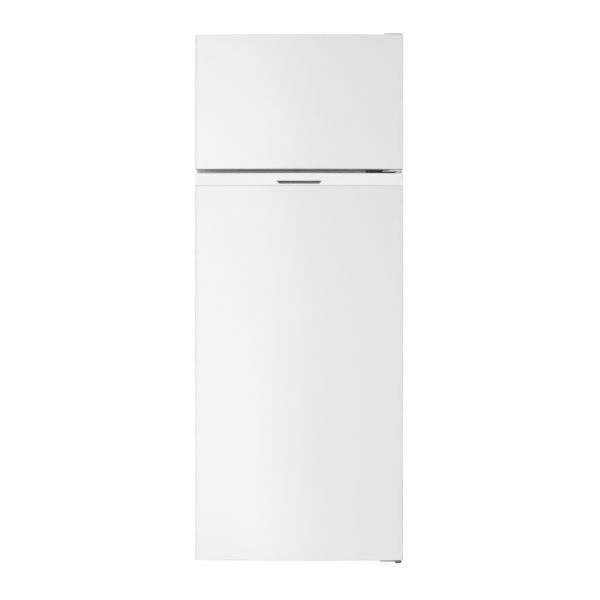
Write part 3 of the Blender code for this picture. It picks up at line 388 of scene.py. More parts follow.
def join(bm, other):
    """Adds another solid to a mesh being built."""
    mesh = bpy.data.meshes.new("part")
    other.to_mesh(mesh)
    other.free()
    bm.from_mesh(mesh)
    bpy.data.meshes.remove(mesh)


def block(low, high, bm=None):
    """A box between two corners, added to a mesh if one is given."""
    bm = bm or bmesh.new()
    low, high = Vector(low), Vector(high)
    scale = Matrix.Diagonal((*(high - low), 1.0))
    bmesh.ops.create_cube(bm, size=1.0, matrix=Matrix.Translation((low + high) / 2) @ scale)
    return bm


def round_edges(bm, width, segments=3, degrees=30, keep=None):
    """Rounds the edges sharper than degrees, apart from those that keep says yes to."""
    limit = math.radians(degrees)
    sharp = [e for e in bm.edges if e.is_manifold and e.calc_face_angle() > limit]
    sharp = [e for e in sharp if keep is None or not keep(e)]
    bmesh.ops.bevel(bm, geom=sharp, offset=width, segments=segments, affect="EDGES", clamp_overlap=True)
    return bm


def linked(name, data):
    """An object with that data, linked into the scene."""
    obj = bpy.data.objects.new(name, data)
    bpy.context.scene.collection.objects.link(obj)
    return obj


def piece(name, bm, material, body, degrees=40):
    """A named piece of the visual model that moves with a CAD body."""
    mesh = bpy.data.meshes.new(name)
    bm.to_mesh(mesh)
    bm.free()
    mesh.shade_smooth()
    mesh.set_sharp_from_angle(angle=math.radians(degrees))
    mesh.materials.append(material)
    obj = linked(name, mesh)
    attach(obj, body)
    return obj


def weigh_normals(obj):
    """Keeps flat faces flat beside rounded edges."""
    modifier = obj.modifiers.new("Weighted Normal", "WEIGHTED_NORMAL")
    modifier.keep_sharp = True
    return obj


def refined(node, material, width=0.0005, segments=2, degrees=30, name=None):
    """A copy of a CAD node with its facets joined and its hard edges rounded, standing for the node."""
    bm = bmesh.new()
    bm.from_mesh(nodes[node].data)
    bmesh.ops.remove_doubles(bm, verts=bm.verts, dist=0.000003)
    bmesh.ops.dissolve_limit(bm, angle_limit=math.radians(0.3), verts=bm.verts, edges=bm.edges)
    if width:
        round_edges(bm, width, segments, degrees)
    obj = piece(name or f"{node}_look", bm, material, body_of_node[node])
    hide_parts(node)
    return weigh_normals(obj)


def finer(node, bm, material, name=None, degrees=40):
    """A finer piece that stands for a CAD node."""
    obj = piece(name or f"{node}_look", bm, material, body_of_node[node], degrees)
    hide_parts(node)
    return obj


def thickened(obj, thickness):
    """Gives an open skin the thickness of its sheet, on its inner side."""
    sheet = obj.modifiers.new("Sheet", "SOLIDIFY")
    sheet.thickness = thickness
    sheet.offset = -1.0
    return obj


def baked(obj):
    """Applies an object's modifiers to its mesh."""
    graph = bpy.context.evaluated_depsgraph_get()
    mesh = bpy.data.meshes.new_from_object(obj.evaluated_get(graph))
    old = obj.data
    obj.modifiers.clear()
    obj.data = mesh
    bpy.data.meshes.remove(old)
    return obj


# Doors


def front_y(x, inset=0.0):
    """Where the bowed front stands at x."""
    return FRONT + BOW * (x / SIDE) ** 2 + inset


def door_plan(inset, back, steps=56):
    """Plan of a door from its left rear edge round the bowed front to its right rear edge."""
    reach = SIDE - CORNER
    lean = math.degrees(math.atan(2 * BOW / SIDE * reach / SIDE))
    centre_y = front_y(reach) + CORNER
    left = arc((-reach, centre_y), CORNER - inset, 180, 270 - lean, 8)
    right = arc((reach, centre_y), CORNER - inset, 270 + lean, 360, 8)
    xs = [reach * (2 * i / steps - 1) for i in range(1, steps)]
    edge = SIDE - inset
    return [(-edge, back)] + left + [(x, front_y(x, inset)) for x in xs] + right + [(edge, back)]


def edge_levels(low, high, radius, steps=4):
    """Pairs of inset and height for a wall whose lower and upper edges are rounded."""
    quarter = [math.pi / 2 * i / steps for i in range(steps + 1)]
    rise = [(radius * (1 - math.sin(q)), low + radius * (1 - math.cos(q))) for q in quarter]
    return rise + [(inset, high + low - height) for inset, height in rise[::-1]]


def door_shell(node, material):
    """The bowed sheet of a door, with rolled edges and its rear lips folded in."""
    low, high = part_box(node)
    rows = []
    for inset, z in edge_levels(low.z, high.z, SHELL_EDGE):
        plan = door_plan(inset, high.y)
        path = [(-SIDE + LIP, high.y)] + plan + [(SIDE - LIP, high.y)]
        rows.append([(x, y, z) for x, y in path])
    bm = bmesh.new()
    strip(bm, rows, closed=False)
    return thickened(finer(node, bm, material), SHEET)


def end_cap(node, material):
    """A moulded end cap inside the sheet, with a soft edge."""
    return refined(node, material, 0.0008, 3)


def liner_loops(half, floor, ceiling, stages):
    """Loops for a door liner from stages of inset, corner radius and depth."""
    loops = []
    for inset, radius, y in stages:
        outline = rounded((-half + inset, floor + inset), (half - inset, ceiling - inset), radius)
        loops.append([(x, y, z) for x, z in outline])
    return loops


def door_liner(node, compartment, material):
    """The formed inner panel: a flange, a rounded dyke and a recessed middle."""
    half, floor, ceiling = compartment[:3]
    low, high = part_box(node)
    top, base = DOOR_BACK + DYKE, DOOR_BACK
    bottom = base - PANEL_RECESS
    g = DYKE_GAP
    stages = [(g, 0.020, base), (g + 0.0006, 0.020, base + 0.0012), (g + 0.003, 0.019, top - 0.006)]
    stages += [(g + 0.0042, 0.018, top - 0.0024), (g + 0.0062, 0.017, top - 0.0006), (g + 0.0085, 0.016, top)]
    stages += [(g + 0.0140, 0.012, top), (g + 0.0162, 0.011, top - 0.0006), (g + 0.0180, 0.010, top - 0.0024)]
    stages += [(g + 0.0192, 0.010, top - 0.006), (g + 0.0208, 0.009, bottom + 0.007)]
    stages += [(g + 0.0222, 0.009, bottom + 0.0022), (g + 0.0252, 0.008, bottom)]
    loops = liner_loops(half, floor, ceiling, stages)
    edge = [(x, base, z) for x, z in rounded((low.x, low.z), (high.x, high.z), 0.003)]
    bm = bmesh.new()
    rows = strip(bm, [edge] + loops)
    bm.faces.new(rows[-1])
    bmesh.ops.recalc_face_normals(bm, faces=bm.faces)
    if sum(f.normal.y for f in bm.faces) < 0:
        bmesh.ops.reverse_faces(bm, faces=bm.faces)
    return thickened(finer(node, bm, material, degrees=50), LINER_SHEET)


def gasket(node, material):
    """A bellows seal with two folds and a magnet bead that meets the cabinet."""
    low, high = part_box(node)
    half, middle = high.x - 0.008, 0.008
    depth = high.y - low.y
    outer = [(0.0080, 0.00), (0.0080, 0.22), (0.0050, 0.30), (0.0046, 0.36), (0.0066, 0.44), (0.0046, 0.52)]
    outer += [(0.0048, 0.58), (0.0072, 0.66), (0.0078, 0.80), (0.0074, 0.94), (0.0062, 1.00)]
    profile = outer + [(-spread, share) for spread, share in outer[::-1]]
    loops = []
    for spread, share in profile:
        corner_low = (-half - spread, low.z + middle - spread)
        corner_high = (half + spread, high.z - middle + spread)
        outline = rounded(corner_low, corner_high, 0.010 + spread, 6)
        loops.append([(x, low.y + depth * share, z) for x, z in outline])
    return finer(node, solid(loops, ring=True), material, degrees=55)


def tray(low, high, wall, draft, radius, fillet, rim=0.0):
    """An open box with a rounded floor edge and a rounded rim, which may turn out by rim."""
    steps = 5

    def outline(inset, z):
        r = max(radius - inset * 0.8, 0.002)
        plan = rounded((low[0] + inset, low[1] + inset), (high[0] - inset, high[1] - inset), r)
        return [(x, y, z) for x, y in plan]

    def floor(inset, z, r):
        quarter = [math.pi / 2 * i / steps for i in range(steps + 1)]
        return [outline(inset + r * (1 - math.sin(q)), z + r * (1 - math.cos(q))) for q in quarter]

    z0, z1 = low[2], high[2]
    loops = floor(draft, z0, fillet)
    if rim:
        loops += [outline(rim + 0.0004, z1 - 0.0045), outline(0.0004, z1 - 0.0035), outline(0.0, z1 - 0.0025)]
    loops += [outline(0.0, z1 - 0.0008), outline(0.0006, z1 - 0.0001)]
    inside = max(rim, 0.0) + wall
    loops += [outline(inside - 0.0006, z1 - 0.0001), outline(inside, z1 - 0.0008)]
    inner_fillet = max(fillet - wall, 0.001)
    loops += floor(draft + wall, z0 + wall, inner_fillet)[::-1]
    return solid(loops)


def door_tray(node, material):
    """A clear door bin with a turned rim and two moulded ribs across its front."""
    low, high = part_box(node)
    finer(node, tray(low, high, 0.0020, 0.0045, 0.013, 0.006, 0.0012), material)
    bm = bmesh.new()
    for share in (0.30, 0.42):
        z = low.z + (high.z - low.z) * share
        block((low.x + 0.030, high.y - 0.0042, z), (high.x - 0.030, high.y - 0.0018, z + 0.0022), bm)
    round_edges(bm, 0.0007, 2)
    ribs = piece(f"{node}_ribs", bm, material, body_of_node[node])
    return weigh_normals(ribs)


def bin_lugs(name, node_list, compartment, body, material):
    """The bosses on a door liner's dyke that hold each bin's ends."""
    half = compartment[0] - DYKE_GAP - 0.0212
    bm = bmesh.new()
    for node in node_list:
        low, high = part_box(node)
        z = low.z + (high.z - low.z) * 0.25
        for sign in (-1, 1):
            inner = high.x + 0.0008
            x0, x1 = sorted((sign * inner, sign * (half + 0.006)))
            if x1 - x0 > 0.001:
                block((x0, DOOR_BACK + 0.002, z), (x1, DOOR_BACK + 0.018, z + 0.026), bm)
    round_edges(bm, 0.0012, 3)
    return weigh_normals(piece(name, bm, material, body))


def doors(m):
    for door in ("freezer_door", "fridge_door"):
        door_shell(f"{door}_skin", m["door"])
        end_cap(f"{door}_bottom_cap", m["cap"])
        gasket(f"{door}_gasket", m["gasket"])
        refined(f"{door}_foam", m["foam"], 0)
    end_cap("freezer_door_top_cap", m["cap"])
    door_liner("freezer_door_liner", FREEZER, m["liner"])
    door_liner("fridge_door_liner", FRIDGE, m["liner"])
    refined("grip_cap", m["cap"], 0.0003, 2)
    refined("grip_insert", m["grip"], 0.0004, 2)
    racks = ("bottle_bin", "door_bin_1", "door_bin_2")
    for node in racks + ("freezer_door_bin",):
        door_tray(node, m["bin"])
    bin_lugs("fridge_bin_lugs", racks, FRIDGE, "fridge_door", m["liner"])
    bin_lugs("freezer_bin_lugs", ("freezer_door_bin",), FREEZER, "freezer_door", m["liner"])


# Compartments


def cavity(node, profile, half, material):
    """A formed compartment: a rounded inner skin that turns out into a flat front flange."""
    low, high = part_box(node)
    front = low.y
    bm = bmesh.new()
    face = bm.faces.new([bm.verts.new((-half, y, z)) for y, z in profile])
    grown = bmesh.ops.extrude_face_region(bm, geom=[face])
    moved = [v for v in grown["geom"] if isinstance(v, bmesh.types.BMVert)]
    bmesh.ops.translate(bm, verts=moved, vec=(2 * half, 0, 0))
    bmesh.ops.recalc_face_normals(bm, faces=bm.faces)

    def on_front(e):
        return all(abs(v.co.y - front) < 1e-5 for v in e.verts)

    round_edges(bm, LINER_RADIUS, 6, keep=on_front)
    mouth = [f for f in bm.faces if all(abs(v.co.y - front) < 1e-5 for v in f.verts)]
    bmesh.ops.delete(bm, geom=mouth, context="FACES_ONLY")
    bmesh.ops.reverse_faces(bm, faces=bm.faces)
    rim = [e for e in bm.edges if e.is_boundary]
    corners = [(low.x, low.z), (high.x, low.z), (high.x, high.z), (low.x, high.z)]
    frame_verts = [bm.verts.new((x, front, z)) for x, z in corners]
    outer = [bm.edges.new((frame_verts[i], frame_verts[(i + 1) % 4])) for i in range(4)]
    bmesh.ops.triangle_fill(bm, edges=rim + outer, use_beauty=True)
    for f in bm.faces:
        if f.normal.y > 0.5 and all(abs(v.co.y - front) < 1e-5 for v in f.verts):
            f.normal_flip()
    bm.normal_update()
    lip = [e for e in rim if e.is_valid and e.is_manifold]
    bmesh.ops.bevel(bm, geom=lip, offset=0.0025, segments=3, affect="EDGES", clamp_overlap=True)
    return thickened(finer(node, bm, material, degrees=50), LINER_SHEET)


def shelf_ledges(name, half, levels, front, rear, material):
    """Rounded ledges on both side walls, blended into the liner at their ends."""
    ends = ((front, 0.0002), (front + 0.008, 1.0), (rear - 0.008, 1.0), (rear, 0.0002))
    bm = bmesh.new()
    for level in levels:
        for sign in (-1, 1):
            stations = []
            for y, reach in ends:
                x = half - LEDGE * reach
                section = [(half, 0.0100), (half, 0.0004), (x + 0.0012 * reach, 0.0004), (x, 0.0018)]
                section += [(x, 0.0070), (x + 0.0030 * reach, 0.0098)]
                stations.append([(sign * across, y, level - down) for across, down in section])
            rows = strip(bm, stations)
            bm.faces.new(rows[0])
            bm.faces.new(rows[-1])
    bmesh.ops.recalc_face_normals(bm, faces=bm.faces)
    return piece(name, bm, material, "cabinet")


def cold_plate(material):
    """The shallow raised panel on the rear wall that the evaporator chills."""
    half, low, high = COLD_PLATE
    rear = FRIDGE[3]
    edge = ((0.0, rear + 0.0002), (0.0008, rear - 0.0008), (0.003, rear - 0.0018), (0.006, rear - 0.0020))
    loops = []
    for inset, y in edge:
        outline = rounded((-half + inset, low + inset), (half - inset, high - inset), 0.014 - inset)
        loops.append([(x, y, z) for x, z in outline])
    return piece("cold_plate_relief", solid(loops), material, "cabinet", 60)


def drain(material):
    """The gutter along the foot of the rear wall, falling towards its middle."""
    rear, top = FRIDGE[3], HUMP_TOP + 0.0300
    profile = [(rear - 0.0004, top + 0.006), (rear - 0.0040, top + 0.004), (rear - 0.0046, top - 0.002)]
    profile += [(rear - 0.0030, top - 0.003), (rear - 0.0004, top - 0.003)]
    half, fall = 0.18, 0.004
    stations = (-half, -0.06, 0.0, 0.06, half)
    loops = [[(x, y, z - fall * (1 - abs(x) / half)) for y, z in profile] for x in stations]
    return piece("drain_gutter", solid(loops), material, "cabinet", 60)


def shelves(m):
    for node in ("glass_shelf_1", "glass_shelf_2", "crisper_cover"):
        refined(node, m["glass"], 0.0008, 3)
    for node in ("shelf_trim_1", "shelf_trim_2", "crisper_cover_trim"):
        refined(node, m["cap"], 0.0006, 2)
    refined("freezer_shelf", m["wire"], 0, degrees=60)


def crisper(m):
    """The drawer, with a turned rim and a curved finger grip along the front."""
    node = "crisper_drawer"
    low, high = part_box(node)
    finer(node, tray(low, high, 0.0022, 0.0055, 0.016, 0.010, 0.0014), m["bin"])
    loops = []
    for i in range(GRIP_STEPS + 1):
        x = -GRIP_HALF + 2 * GRIP_HALF * i / GRIP_STEPS
        fade = min(1.0, (GRIP_HALF - abs(x)) / 0.02 + 0.02)
        drop = 0.011 * math.sqrt(max(fade, 0.0)) * 0.35
        y, z = low.y + 0.0010, high.z - 0.0010
        section = [(0.0, 0.0), (0.014, 0.0), (0.014, drop), (0.0125, drop), (0.0115, 0.0022), (0.0, 0.0022)]
        loops.append([(x, y + back, z - down) for back, down in section])
    return piece("crisper_grip", solid(loops), m["bin"], "crisper", 50)


def compartments(m):
    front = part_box("fridge_liner")[0].y
    half, floor, ceiling, rear = FRIDGE
    profile = [(front, floor), (HUMP_FRONT, floor), (HUMP_FRONT, HUMP_TOP), (rear, HUMP_TOP)]
    cavity("fridge_liner", profile + [(rear, ceiling), (front, ceiling)], half, m["liner"])
    shelf_ledges("fridge_ledges", half, LEDGE_LEVELS, -0.085, rear - 0.006, m["liner"])
    half, floor, ceiling, rear = FREEZER
    profile = [(front, floor), (rear, floor), (rear, ceiling), (front, ceiling)]
    cavity("freezer_liner", profile, half, m["liner"])
    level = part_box("freezer_shelf")[0].z
    shelf_ledges("freezer_ledges", half, (level,), -0.120, rear - 0.006, m["liner"])
    cold_plate(m["liner"])
    drain(m["cap"])
    shelves(m)
    crisper(m)


# Control box


def dial_numbers(m, centre, radius, face):
    """Raised numbers round the dial."""
    bm = bmesh.new()
    for i in range(DIAL_MARKS):
        angle = math.radians(225 - DIAL_SWEEP * i / (DIAL_MARKS - 1))
        curve = bpy.data.curves.new(f"digit_{i}", "FONT")
        curve.body = str(i + 1)
        curve.size = 0.0062
        curve.extrude = 0.00012
        curve.align_x, curve.align_y = "CENTER", "CENTER"
        holder = linked(f"digit_{i}", curve)
        mesh = bpy.data.meshes.new_from_object(holder)
        place = Vector((centre[0] + radius * math.cos(angle), face, centre[1] + radius * math.sin(angle)))
        mesh.transform(Matrix.Translation(place) @ Matrix.Rotation(math.pi / 2, 4, "X"))
        bm.from_mesh(mesh)
        bpy.data.objects.remove(holder)
        bpy.data.curves.remove(curve)
        bpy.data.meshes.remove(mesh)
    return piece("dial_numbers", bm, m["print"], "cabinet")


def knob(m):
    """The dial: a fluted rim, a raised grip bar and a pointer line."""
    node = "temperature_knob"
    low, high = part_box(node)
    centre = pivots["knob"]
    radius, face = (high.x - low.x) / 2, centre.y - 0.0004
    profile = [(0.0, 0.0), (0.97, 0.0), (1.0, 0.0006), (1.0, 0.0042), (0.97, 0.0054)]
    profile += [(0.90, 0.0060), (0.3, 0.0061)]
    loops = []
    for share, y in profile:
        ring = []
        for i in range(KNOB_SIDES):
            a = 2 * math.pi * i / KNOB_SIDES
            flute = 1 - 0.022 * (0.5 + 0.5 * math.cos(KNOB_FLUTES * a)) if share > 0.96 else 1
            r = max(radius * share * flute, 0.0001)
            ring.append((centre.x + r * math.cos(a), face - y, centre.z + r * math.sin(a)))
        loops.append(ring)
    finer(node, solid(loops), m["box"], degrees=50)
    section = [(-1.3, 0.0055), (1.3, 0.0055), (1.0, 0.0130), (0.5, 0.0140), (-0.5, 0.0140), (-1.0, 0.0130)]
    bar = []
    for z, half in ((-0.0150, 0.0006), (-0.0135, 0.0022), (0.0, 0.0028), (0.0135, 0.0022), (0.0150, 0.0006)):
        bar.append([(centre.x + half * across, face - out, centre.z + z) for across, out in section])
    piece("knob_grip", solid(bar), m["box"], "knob", 60)
    low = (centre.x - 0.0004, face - 0.01415, centre.z + 0.002)
    line = block(low, (centre.x + 0.0004, face - 0.0138, centre.z + 0.0118))
    return piece("knob_pointer", line, m["print"], "knob")


def lamp(m):
    """The bulb with its brass cap, in a holder inside the box."""
    low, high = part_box("lamp_bulb")
    centre = ((low.y + high.y) / 2, (low.z + high.z) / 2)
    x = low.x
    profile = [(0.0105, 0.018), (0.0112, 0.020), (0.0130, 0.025), (0.0146, 0.032), (0.0149, 0.038)]
    profile += [(0.0142, 0.044), (0.0122, 0.049), (0.0090, 0.0525), (0.0050, 0.0538), (0.0008, 0.0540)]
    stations = [(radius, x + along) for radius, along in profile]
    finer("lamp_bulb", turned(stations, centre, "X"), m["bulb"])
    thread = [(0.0040, x)]
    for i in range(13):
        thread.append((0.0102 if i % 2 else 0.0094, x + 0.002 + 0.0012 * i))
    cap = turned(thread + [(0.0104, x + 0.0178)], centre, "X")
    return piece("lamp_cap", cap, m["brass"], "cabinet", 60)


def lens_ribs(m):
    """Fine prisms across the lens, which spread the lamp's light."""
    low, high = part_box("lamp_lens")
    bm = bmesh.new()
    for i in range(1, LENS_RIBS):
        x = low.x + 0.012 + (high.x - low.x - 0.024) * i / LENS_RIBS
        ends = [[(x - 0.0016, y, low.z + 0.0002), (x, y, low.z - 0.0006), (x + 0.0016, y, low.z + 0.0002)]
                for y in (low.y + 0.012, high.y - 0.012)]
        rows = strip(bm, ends)
        bm.faces.new(rows[0])
        bm.faces.new(rows[-1])
    bmesh.ops.recalc_face_normals(bm, faces=bm.faces)
    return piece("lens_ribs", bm, m["lens"], "cabinet", 10)


def control_box(m):
    refined("control_housing", m["box"], 0.0012, 3)
    refined("lamp_lens", m["lens"], 0.0006, 2)
    refined("thermostat", m["zinc"], 0.0008, 2)
    refined("switch_plunger", m["cap"], 0.0005, 2)
    lens_ribs(m)
    lamp(m)
    knob(m)
    centre = pivots["knob"]
    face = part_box("control_housing")[0].y - 0.00012
    dial_numbers(m, (centre.x, centre.z), DIAL_RADIUS, face)
    low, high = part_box("switch_plunger")
    profile = [(0.0036, face - 0.0002), (0.0056, face - 0.0002), (0.0062, face - 0.0010)]
    profile += [(0.0050, face - 0.0016), (0.0036, face - 0.0016)]
    collar = turned(profile, ((low.x + high.x) / 2, (low.z + high.z) / 2), "Y")
    piece("switch_collar", collar, m["cap"], "cabinet")


# Casing, hinges and screws


def screw_mesh():
    """A pan head with a cross recess, 8 mm across, its seat at the origin and its head along -Y."""
    profile = [(0.0041, 0.0), (0.0041, -0.0008), (0.0038, -0.0015), (0.0030, -0.0021)]
    profile += [(0.0018, -0.0024), (0.0003, -0.0025)]
    long, thin = 0.0024, 0.0005
    shapes = {
        "screw_head": turned(profile, (0.0, 0.0), "Y", 28),
        "recess_0": block((-long, -0.004, -thin), (long, -0.0012, thin)),
        "recess_1": block((-thin, -0.004, -long), (thin, -0.0012, long)),
    }
    made = []
    for name, bm in shapes.items():
        mesh = bpy.data.meshes.new(name)
        bm.to_mesh(mesh)
        bm.free()
        made.append(linked(name, mesh))
    head, *cutters = made
    for cutter in cutters:
        modifier = head.modifiers.new("Recess", "BOOLEAN")
        modifier.operation = "DIFFERENCE"
        modifier.object = cutter
    mesh = baked(head).data.copy()
    for obj in made:
        bpy.data.objects.remove(obj)
    return mesh


def screws(name, places, direction, m, body="cabinet", size=1.0):
    """Screw heads at several places, all facing one way."""
    turn = Vector((0, -1, 0)).rotation_difference(Vector(direction)).to_matrix().to_4x4()
    bm = bmesh.new()
    for i, place in enumerate(places):
        mesh = m["screw_mesh"].copy()
        spin = Matrix.Rotation(0.7 * i + 0.3, 4, "Y")
        mesh.transform(Matrix.Translation(place) @ turn @ spin @ Matrix.Scale(size, 4))
        bm.from_mesh(mesh)
        bpy.data.meshes.remove(mesh)
    return piece(name, bm, m["screw"], body, 35)


def casing(m):
    refined("left_side_panel", m["casing"], 0.00045, 3)
    refined("right_side_panel", m["casing"], 0.00045, 3)
    refined("top_panel", m["casing"], 0.0006, 3)
    refined("back_panel", m["back"], 0.0004, 2)
    refined("base_pan", m["zinc"], 0.0005, 2)
    refined("mullion_rail", m["rail"], 0.0005, 3)
    refined("freezer_foam", m["foam"], 0)
    refined("fridge_foam", m["foam"], 0)


def back_fittings(m):
    """Screws round the rear sheet, and the two plugs in its foaming holes."""
    low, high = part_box("back_panel")
    seat = cad_box[1].y - 0.0002 - 0.0020
    places = []
    for i in range(6):
        z = low.z + 0.020 + (high.z - low.z - 0.040) * i / 5
        places += [(sign * (high.x - 0.014), seat, z) for sign in (-1, 1)]
    for i in (1, 2, 3):
        places += [(low.x + (high.x - low.x) * i / 4, seat, z) for z in (low.z + 0.012, high.z - 0.012)]
    screws("back_screws", places, (0, 1, 0), m, size=0.8)
    level = high.y - 0.0025
    profile = [(0.0003, level), (0.0130, level), (0.0150, level + 0.0004), (0.0155, level + 0.0014)]
    profile += [(0.0140, level + 0.0022), (0.0080, level + 0.0024), (0.0003, level + 0.0018)]
    bm = bmesh.new()
    for x in PLUG_PLACES:
        join(bm, turned(profile, (x, PLUG_LEVEL), "Y", 40))
    piece("foam_plugs", bm, m["cap"], "cabinet")


def painted_shadow_slots(cover, material):
    """Sinks two shallow slots into the front of the top hinge's cover and gives their floors a dark steel grey, as
    painted shadow where the cover meets the freezer door's top.
    """
    cover.data.materials.append(material)
    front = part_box("top_hinge_cover")[0].y
    low_z, high_z = COVER_SHADOW_SLOT_LEVELS
    bm = bmesh.new()
    bm.from_mesh(cover.data)
    for low_x, high_x in COVER_SHADOW_SLOTS:
        cuts = [((x, 0, 0), (1, 0, 0)) for x in (low_x, high_x)]
        cuts += [((0, 0, z), (0, 0, 1)) for z in (low_z, high_z)]
        for place, direction in cuts:
            parts = bm.verts[:] + bm.edges[:] + bm.faces[:]
            bmesh.ops.bisect_plane(bm, geom=parts, plane_co=place, plane_no=direction)
        slot = []
        for face in bm.faces:
            middle = face.calc_center_median()
            inside = low_x < middle.x < high_x and low_z < middle.z < high_z
            if inside and abs(middle.y - front) < 0.0002:
                slot.append(face)
        bmesh.ops.inset_region(bm, faces=slot, thickness=0.0002, depth=-0.0011)
        for face in slot:
            face.material_index = 1
    bm.to_mesh(cover.data)
    bm.free()


def paint_shade_on_flange(bracket, material):
    """Gives the bracket's upright flange a dark steel as painted shade, where it sits deep in the gap between the
    doors, apart from the lighter arm.
    """
    bracket.data.materials.append(material)
    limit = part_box("middle_hinge")[1].y - 0.0038
    for face in bracket.data.polygons:
        if all(bracket.data.vertices[i].co.y > limit for i in face.vertices):
            face.material_index = 1


def flange_screws(m):
    """Hexagon screws with wide washers, which hold the middle hinge to the cross rail, in the dark steel that
    paints shade on the flange; the wide dark washers add to that painted shade.
    """
    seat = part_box("middle_hinge")[1].y - 0.0031
    level = (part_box("freezer_door_skin")[0].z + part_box("grip_cap")[1].z) / 2
    bm = bmesh.new()
    for x in FLANGE_SCREWS:
        washer = [(0.0003, seat), (0.0054, seat), (0.0056, seat - 0.0006)]
        washer += [(0.0050, seat - 0.0013), (0.0003, seat - 0.0015)]
        join(bm, turned(washer, (x, level), "Y", 32))
        head = [(0.0040, seat - 0.0010), (0.0042, seat - 0.0016), (0.0042, seat - 0.0046)]
        head += [(0.0034, seat - 0.0052), (0.0003, seat - 0.0049)]
        join(bm, turned(head, (x, level), "Y", 6))
    piece("middle_hinge_screws", bm, m["dark"], "cabinet", 30)


def hinges(m):
    refined("top_hinge", m["zinc"], 0.0004, 2)
    painted_shadow_slots(refined("top_hinge_cover", m["cap"], 0.00055, 3), m["hinge"])
    refined("lower_hinge", m["hinge"], 0.0004, 2)
    # One stamped bracket in two finishes: its arm lighter as painted light, its flange darker as painted shade
    bracket = refined("middle_hinge", m["arm"], 0.0004, 2)
    paint_shade_on_flange(bracket, m["dark"])
    flange_screws(m)
    low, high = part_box("lower_hinge")
    face = high.y - 0.003
    places = [(x, face, high.z - 0.010) for x in (low.x + 0.012, high.x - 0.012)]
    screws("lower_hinge_screws", places, (0, -1, 0), m, size=0.9)


def machine_room(m):
    refined("compressor_rail", m["zinc"], 0.0004, 2)
    refined("starter_box", m["black"], 0.0030, 4)
    refined("cord_gland", m["black"], 0.0010, 3)
    low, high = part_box("evaporation_tray")
    finer("evaporation_tray", tray(low, high, 0.0018, 0.004, 0.013, 0.006, 0.0010), m["tray"])
    refined("freezer_evaporator", m["aluminium"], 0)
    refined("fridge_evaporator", m["aluminium"], 0)
    for node in ("condenser_tube", "suction_pipe", "filter_dryer"):
        smoothed = refined(node, m["copper"], 0, degrees=60)
        rounder = smoothed.modifiers.new("Rounder", "SUBSURF")
        rounder.levels = rounder.render_levels = 1
        smoothed.modifiers.remove(smoothed.modifiers["Weighted Normal"])
    compressor(m)
    capillary(m)


def compressor(m):
    """The welded shell, its plate, rubber mounts and pipe stubs."""
    low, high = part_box("compressor")
    middle = (low + high) / 2
    rx, ry = SHELL_RADIUS, (high.y - low.y) / 2 - 0.0001
    turn = [2 * math.pi * k / SHELL_SIDES for k in range(SHELL_SIDES)]
    loops = []
    for i in range(SHELL_RINGS + 1):
        t = i / SHELL_RINGS
        level = -math.cos(math.pi * t)
        share = max(1 - abs(level) ** SHELL_SQUARENESS, 0.0) ** (1 / SHELL_SQUARENESS)
        bead = 1.012 if abs(t - 0.5) < 0.02 else 1.0
        z = SHELL_BASE + (high.z - SHELL_BASE) * (level + 1) / 2
        reach = max(share * 0.988 * bead, 0.01)
        ring = [(rx * reach * math.cos(a), ry * reach * math.sin(a)) for a in turn]
        loops.append([(middle.x + x, middle.y + y, z) for x, y in ring])
    finer("compressor", solid(loops), m["compressor"], degrees=50)
    corner = (high.x - 0.001, high.y - 0.003, PLATE_LEVEL + 0.003)
    plate = block((low.x + 0.001, low.y + 0.003, PLATE_LEVEL), corner)
    round_edges(plate, 0.0010, 2)
    weigh_normals(piece("compressor_plate", plate, m["compressor"], "cabinet"))
    profile = [(0.0070, 0.0325), (0.0095, 0.0335), (0.0098, 0.0375), (0.0078, 0.0390), (0.0078, 0.0405)]
    profile += [(0.0098, 0.0420), (0.0098, 0.0440), (0.0060, 0.0444)]
    bm = bmesh.new()
    for sx in (-1, 1):
        for sy in (-1, 1):
            centre = (middle.x + sx * MOUNT_REACH[0], middle.y + sy * MOUNT_REACH[1])
            join(bm, turned(profile, centre, "Z", 24))
    piece("compressor_mounts", bm, m["rubber"], "cabinet")
    stages = ((0.0042, 0.0030), (0.0048, 0.010), (0.0048, 0.030), (0.0060, 0.040))
    profile = [(radius, low.x + along) for radius, along in stages]
    bm = bmesh.new()
    for side in (-STUB_REACH, STUB_REACH):
        join(bm, turned(profile, (middle.y + side, STUB_LEVEL), "X", 24))
    piece("compressor_stubs", bm, m["copper"], "cabinet")


def capillary(m):
    """The thin pipe from the filter dryer, with its spare length coiled, up into the casing."""
    low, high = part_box("filter_dryer")
    x, y, z = (low.x + high.x) / 2, (low.y + high.y) / 2, high.z - 0.001
    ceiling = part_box("base_pan")[1].z - 0.0014
    points = [Vector((x, y, z)), Vector((x, y, z + 0.004))]
    for i in range(COIL_TURNS * COIL_STEPS + 1):
        a = 2 * math.pi * i / COIL_STEPS
        lift = z + 0.007 + COIL_PITCH * i / COIL_STEPS
        centre_x = x - COIL_RADIUS
        points.append(Vector((centre_x + COIL_RADIUS * math.cos(a), y + COIL_RADIUS * math.sin(a), lift)))
    points += [Vector((x + 0.004, y + 0.012, z + 0.024)), Vector((x + 0.008, y + 0.014, ceiling))]
    curve = bpy.data.curves.new("capillary", "CURVE")
    curve.dimensions = "3D"
    curve.bevel_depth = 0.0011
    curve.bevel_resolution = 3
    curve.use_fill_caps = True
    spline = curve.splines.new("NURBS")
    spline.points.add(len(points) - 1)
    for target, point in zip(spline.points, points):
        target.co = (*point, 1.0)
    spline.use_endpoint_u = True
    spline.order_u = 4
    curve.materials.append(m["copper"])
    obj = linked("capillary", curve)
    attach(obj, "cabinet")


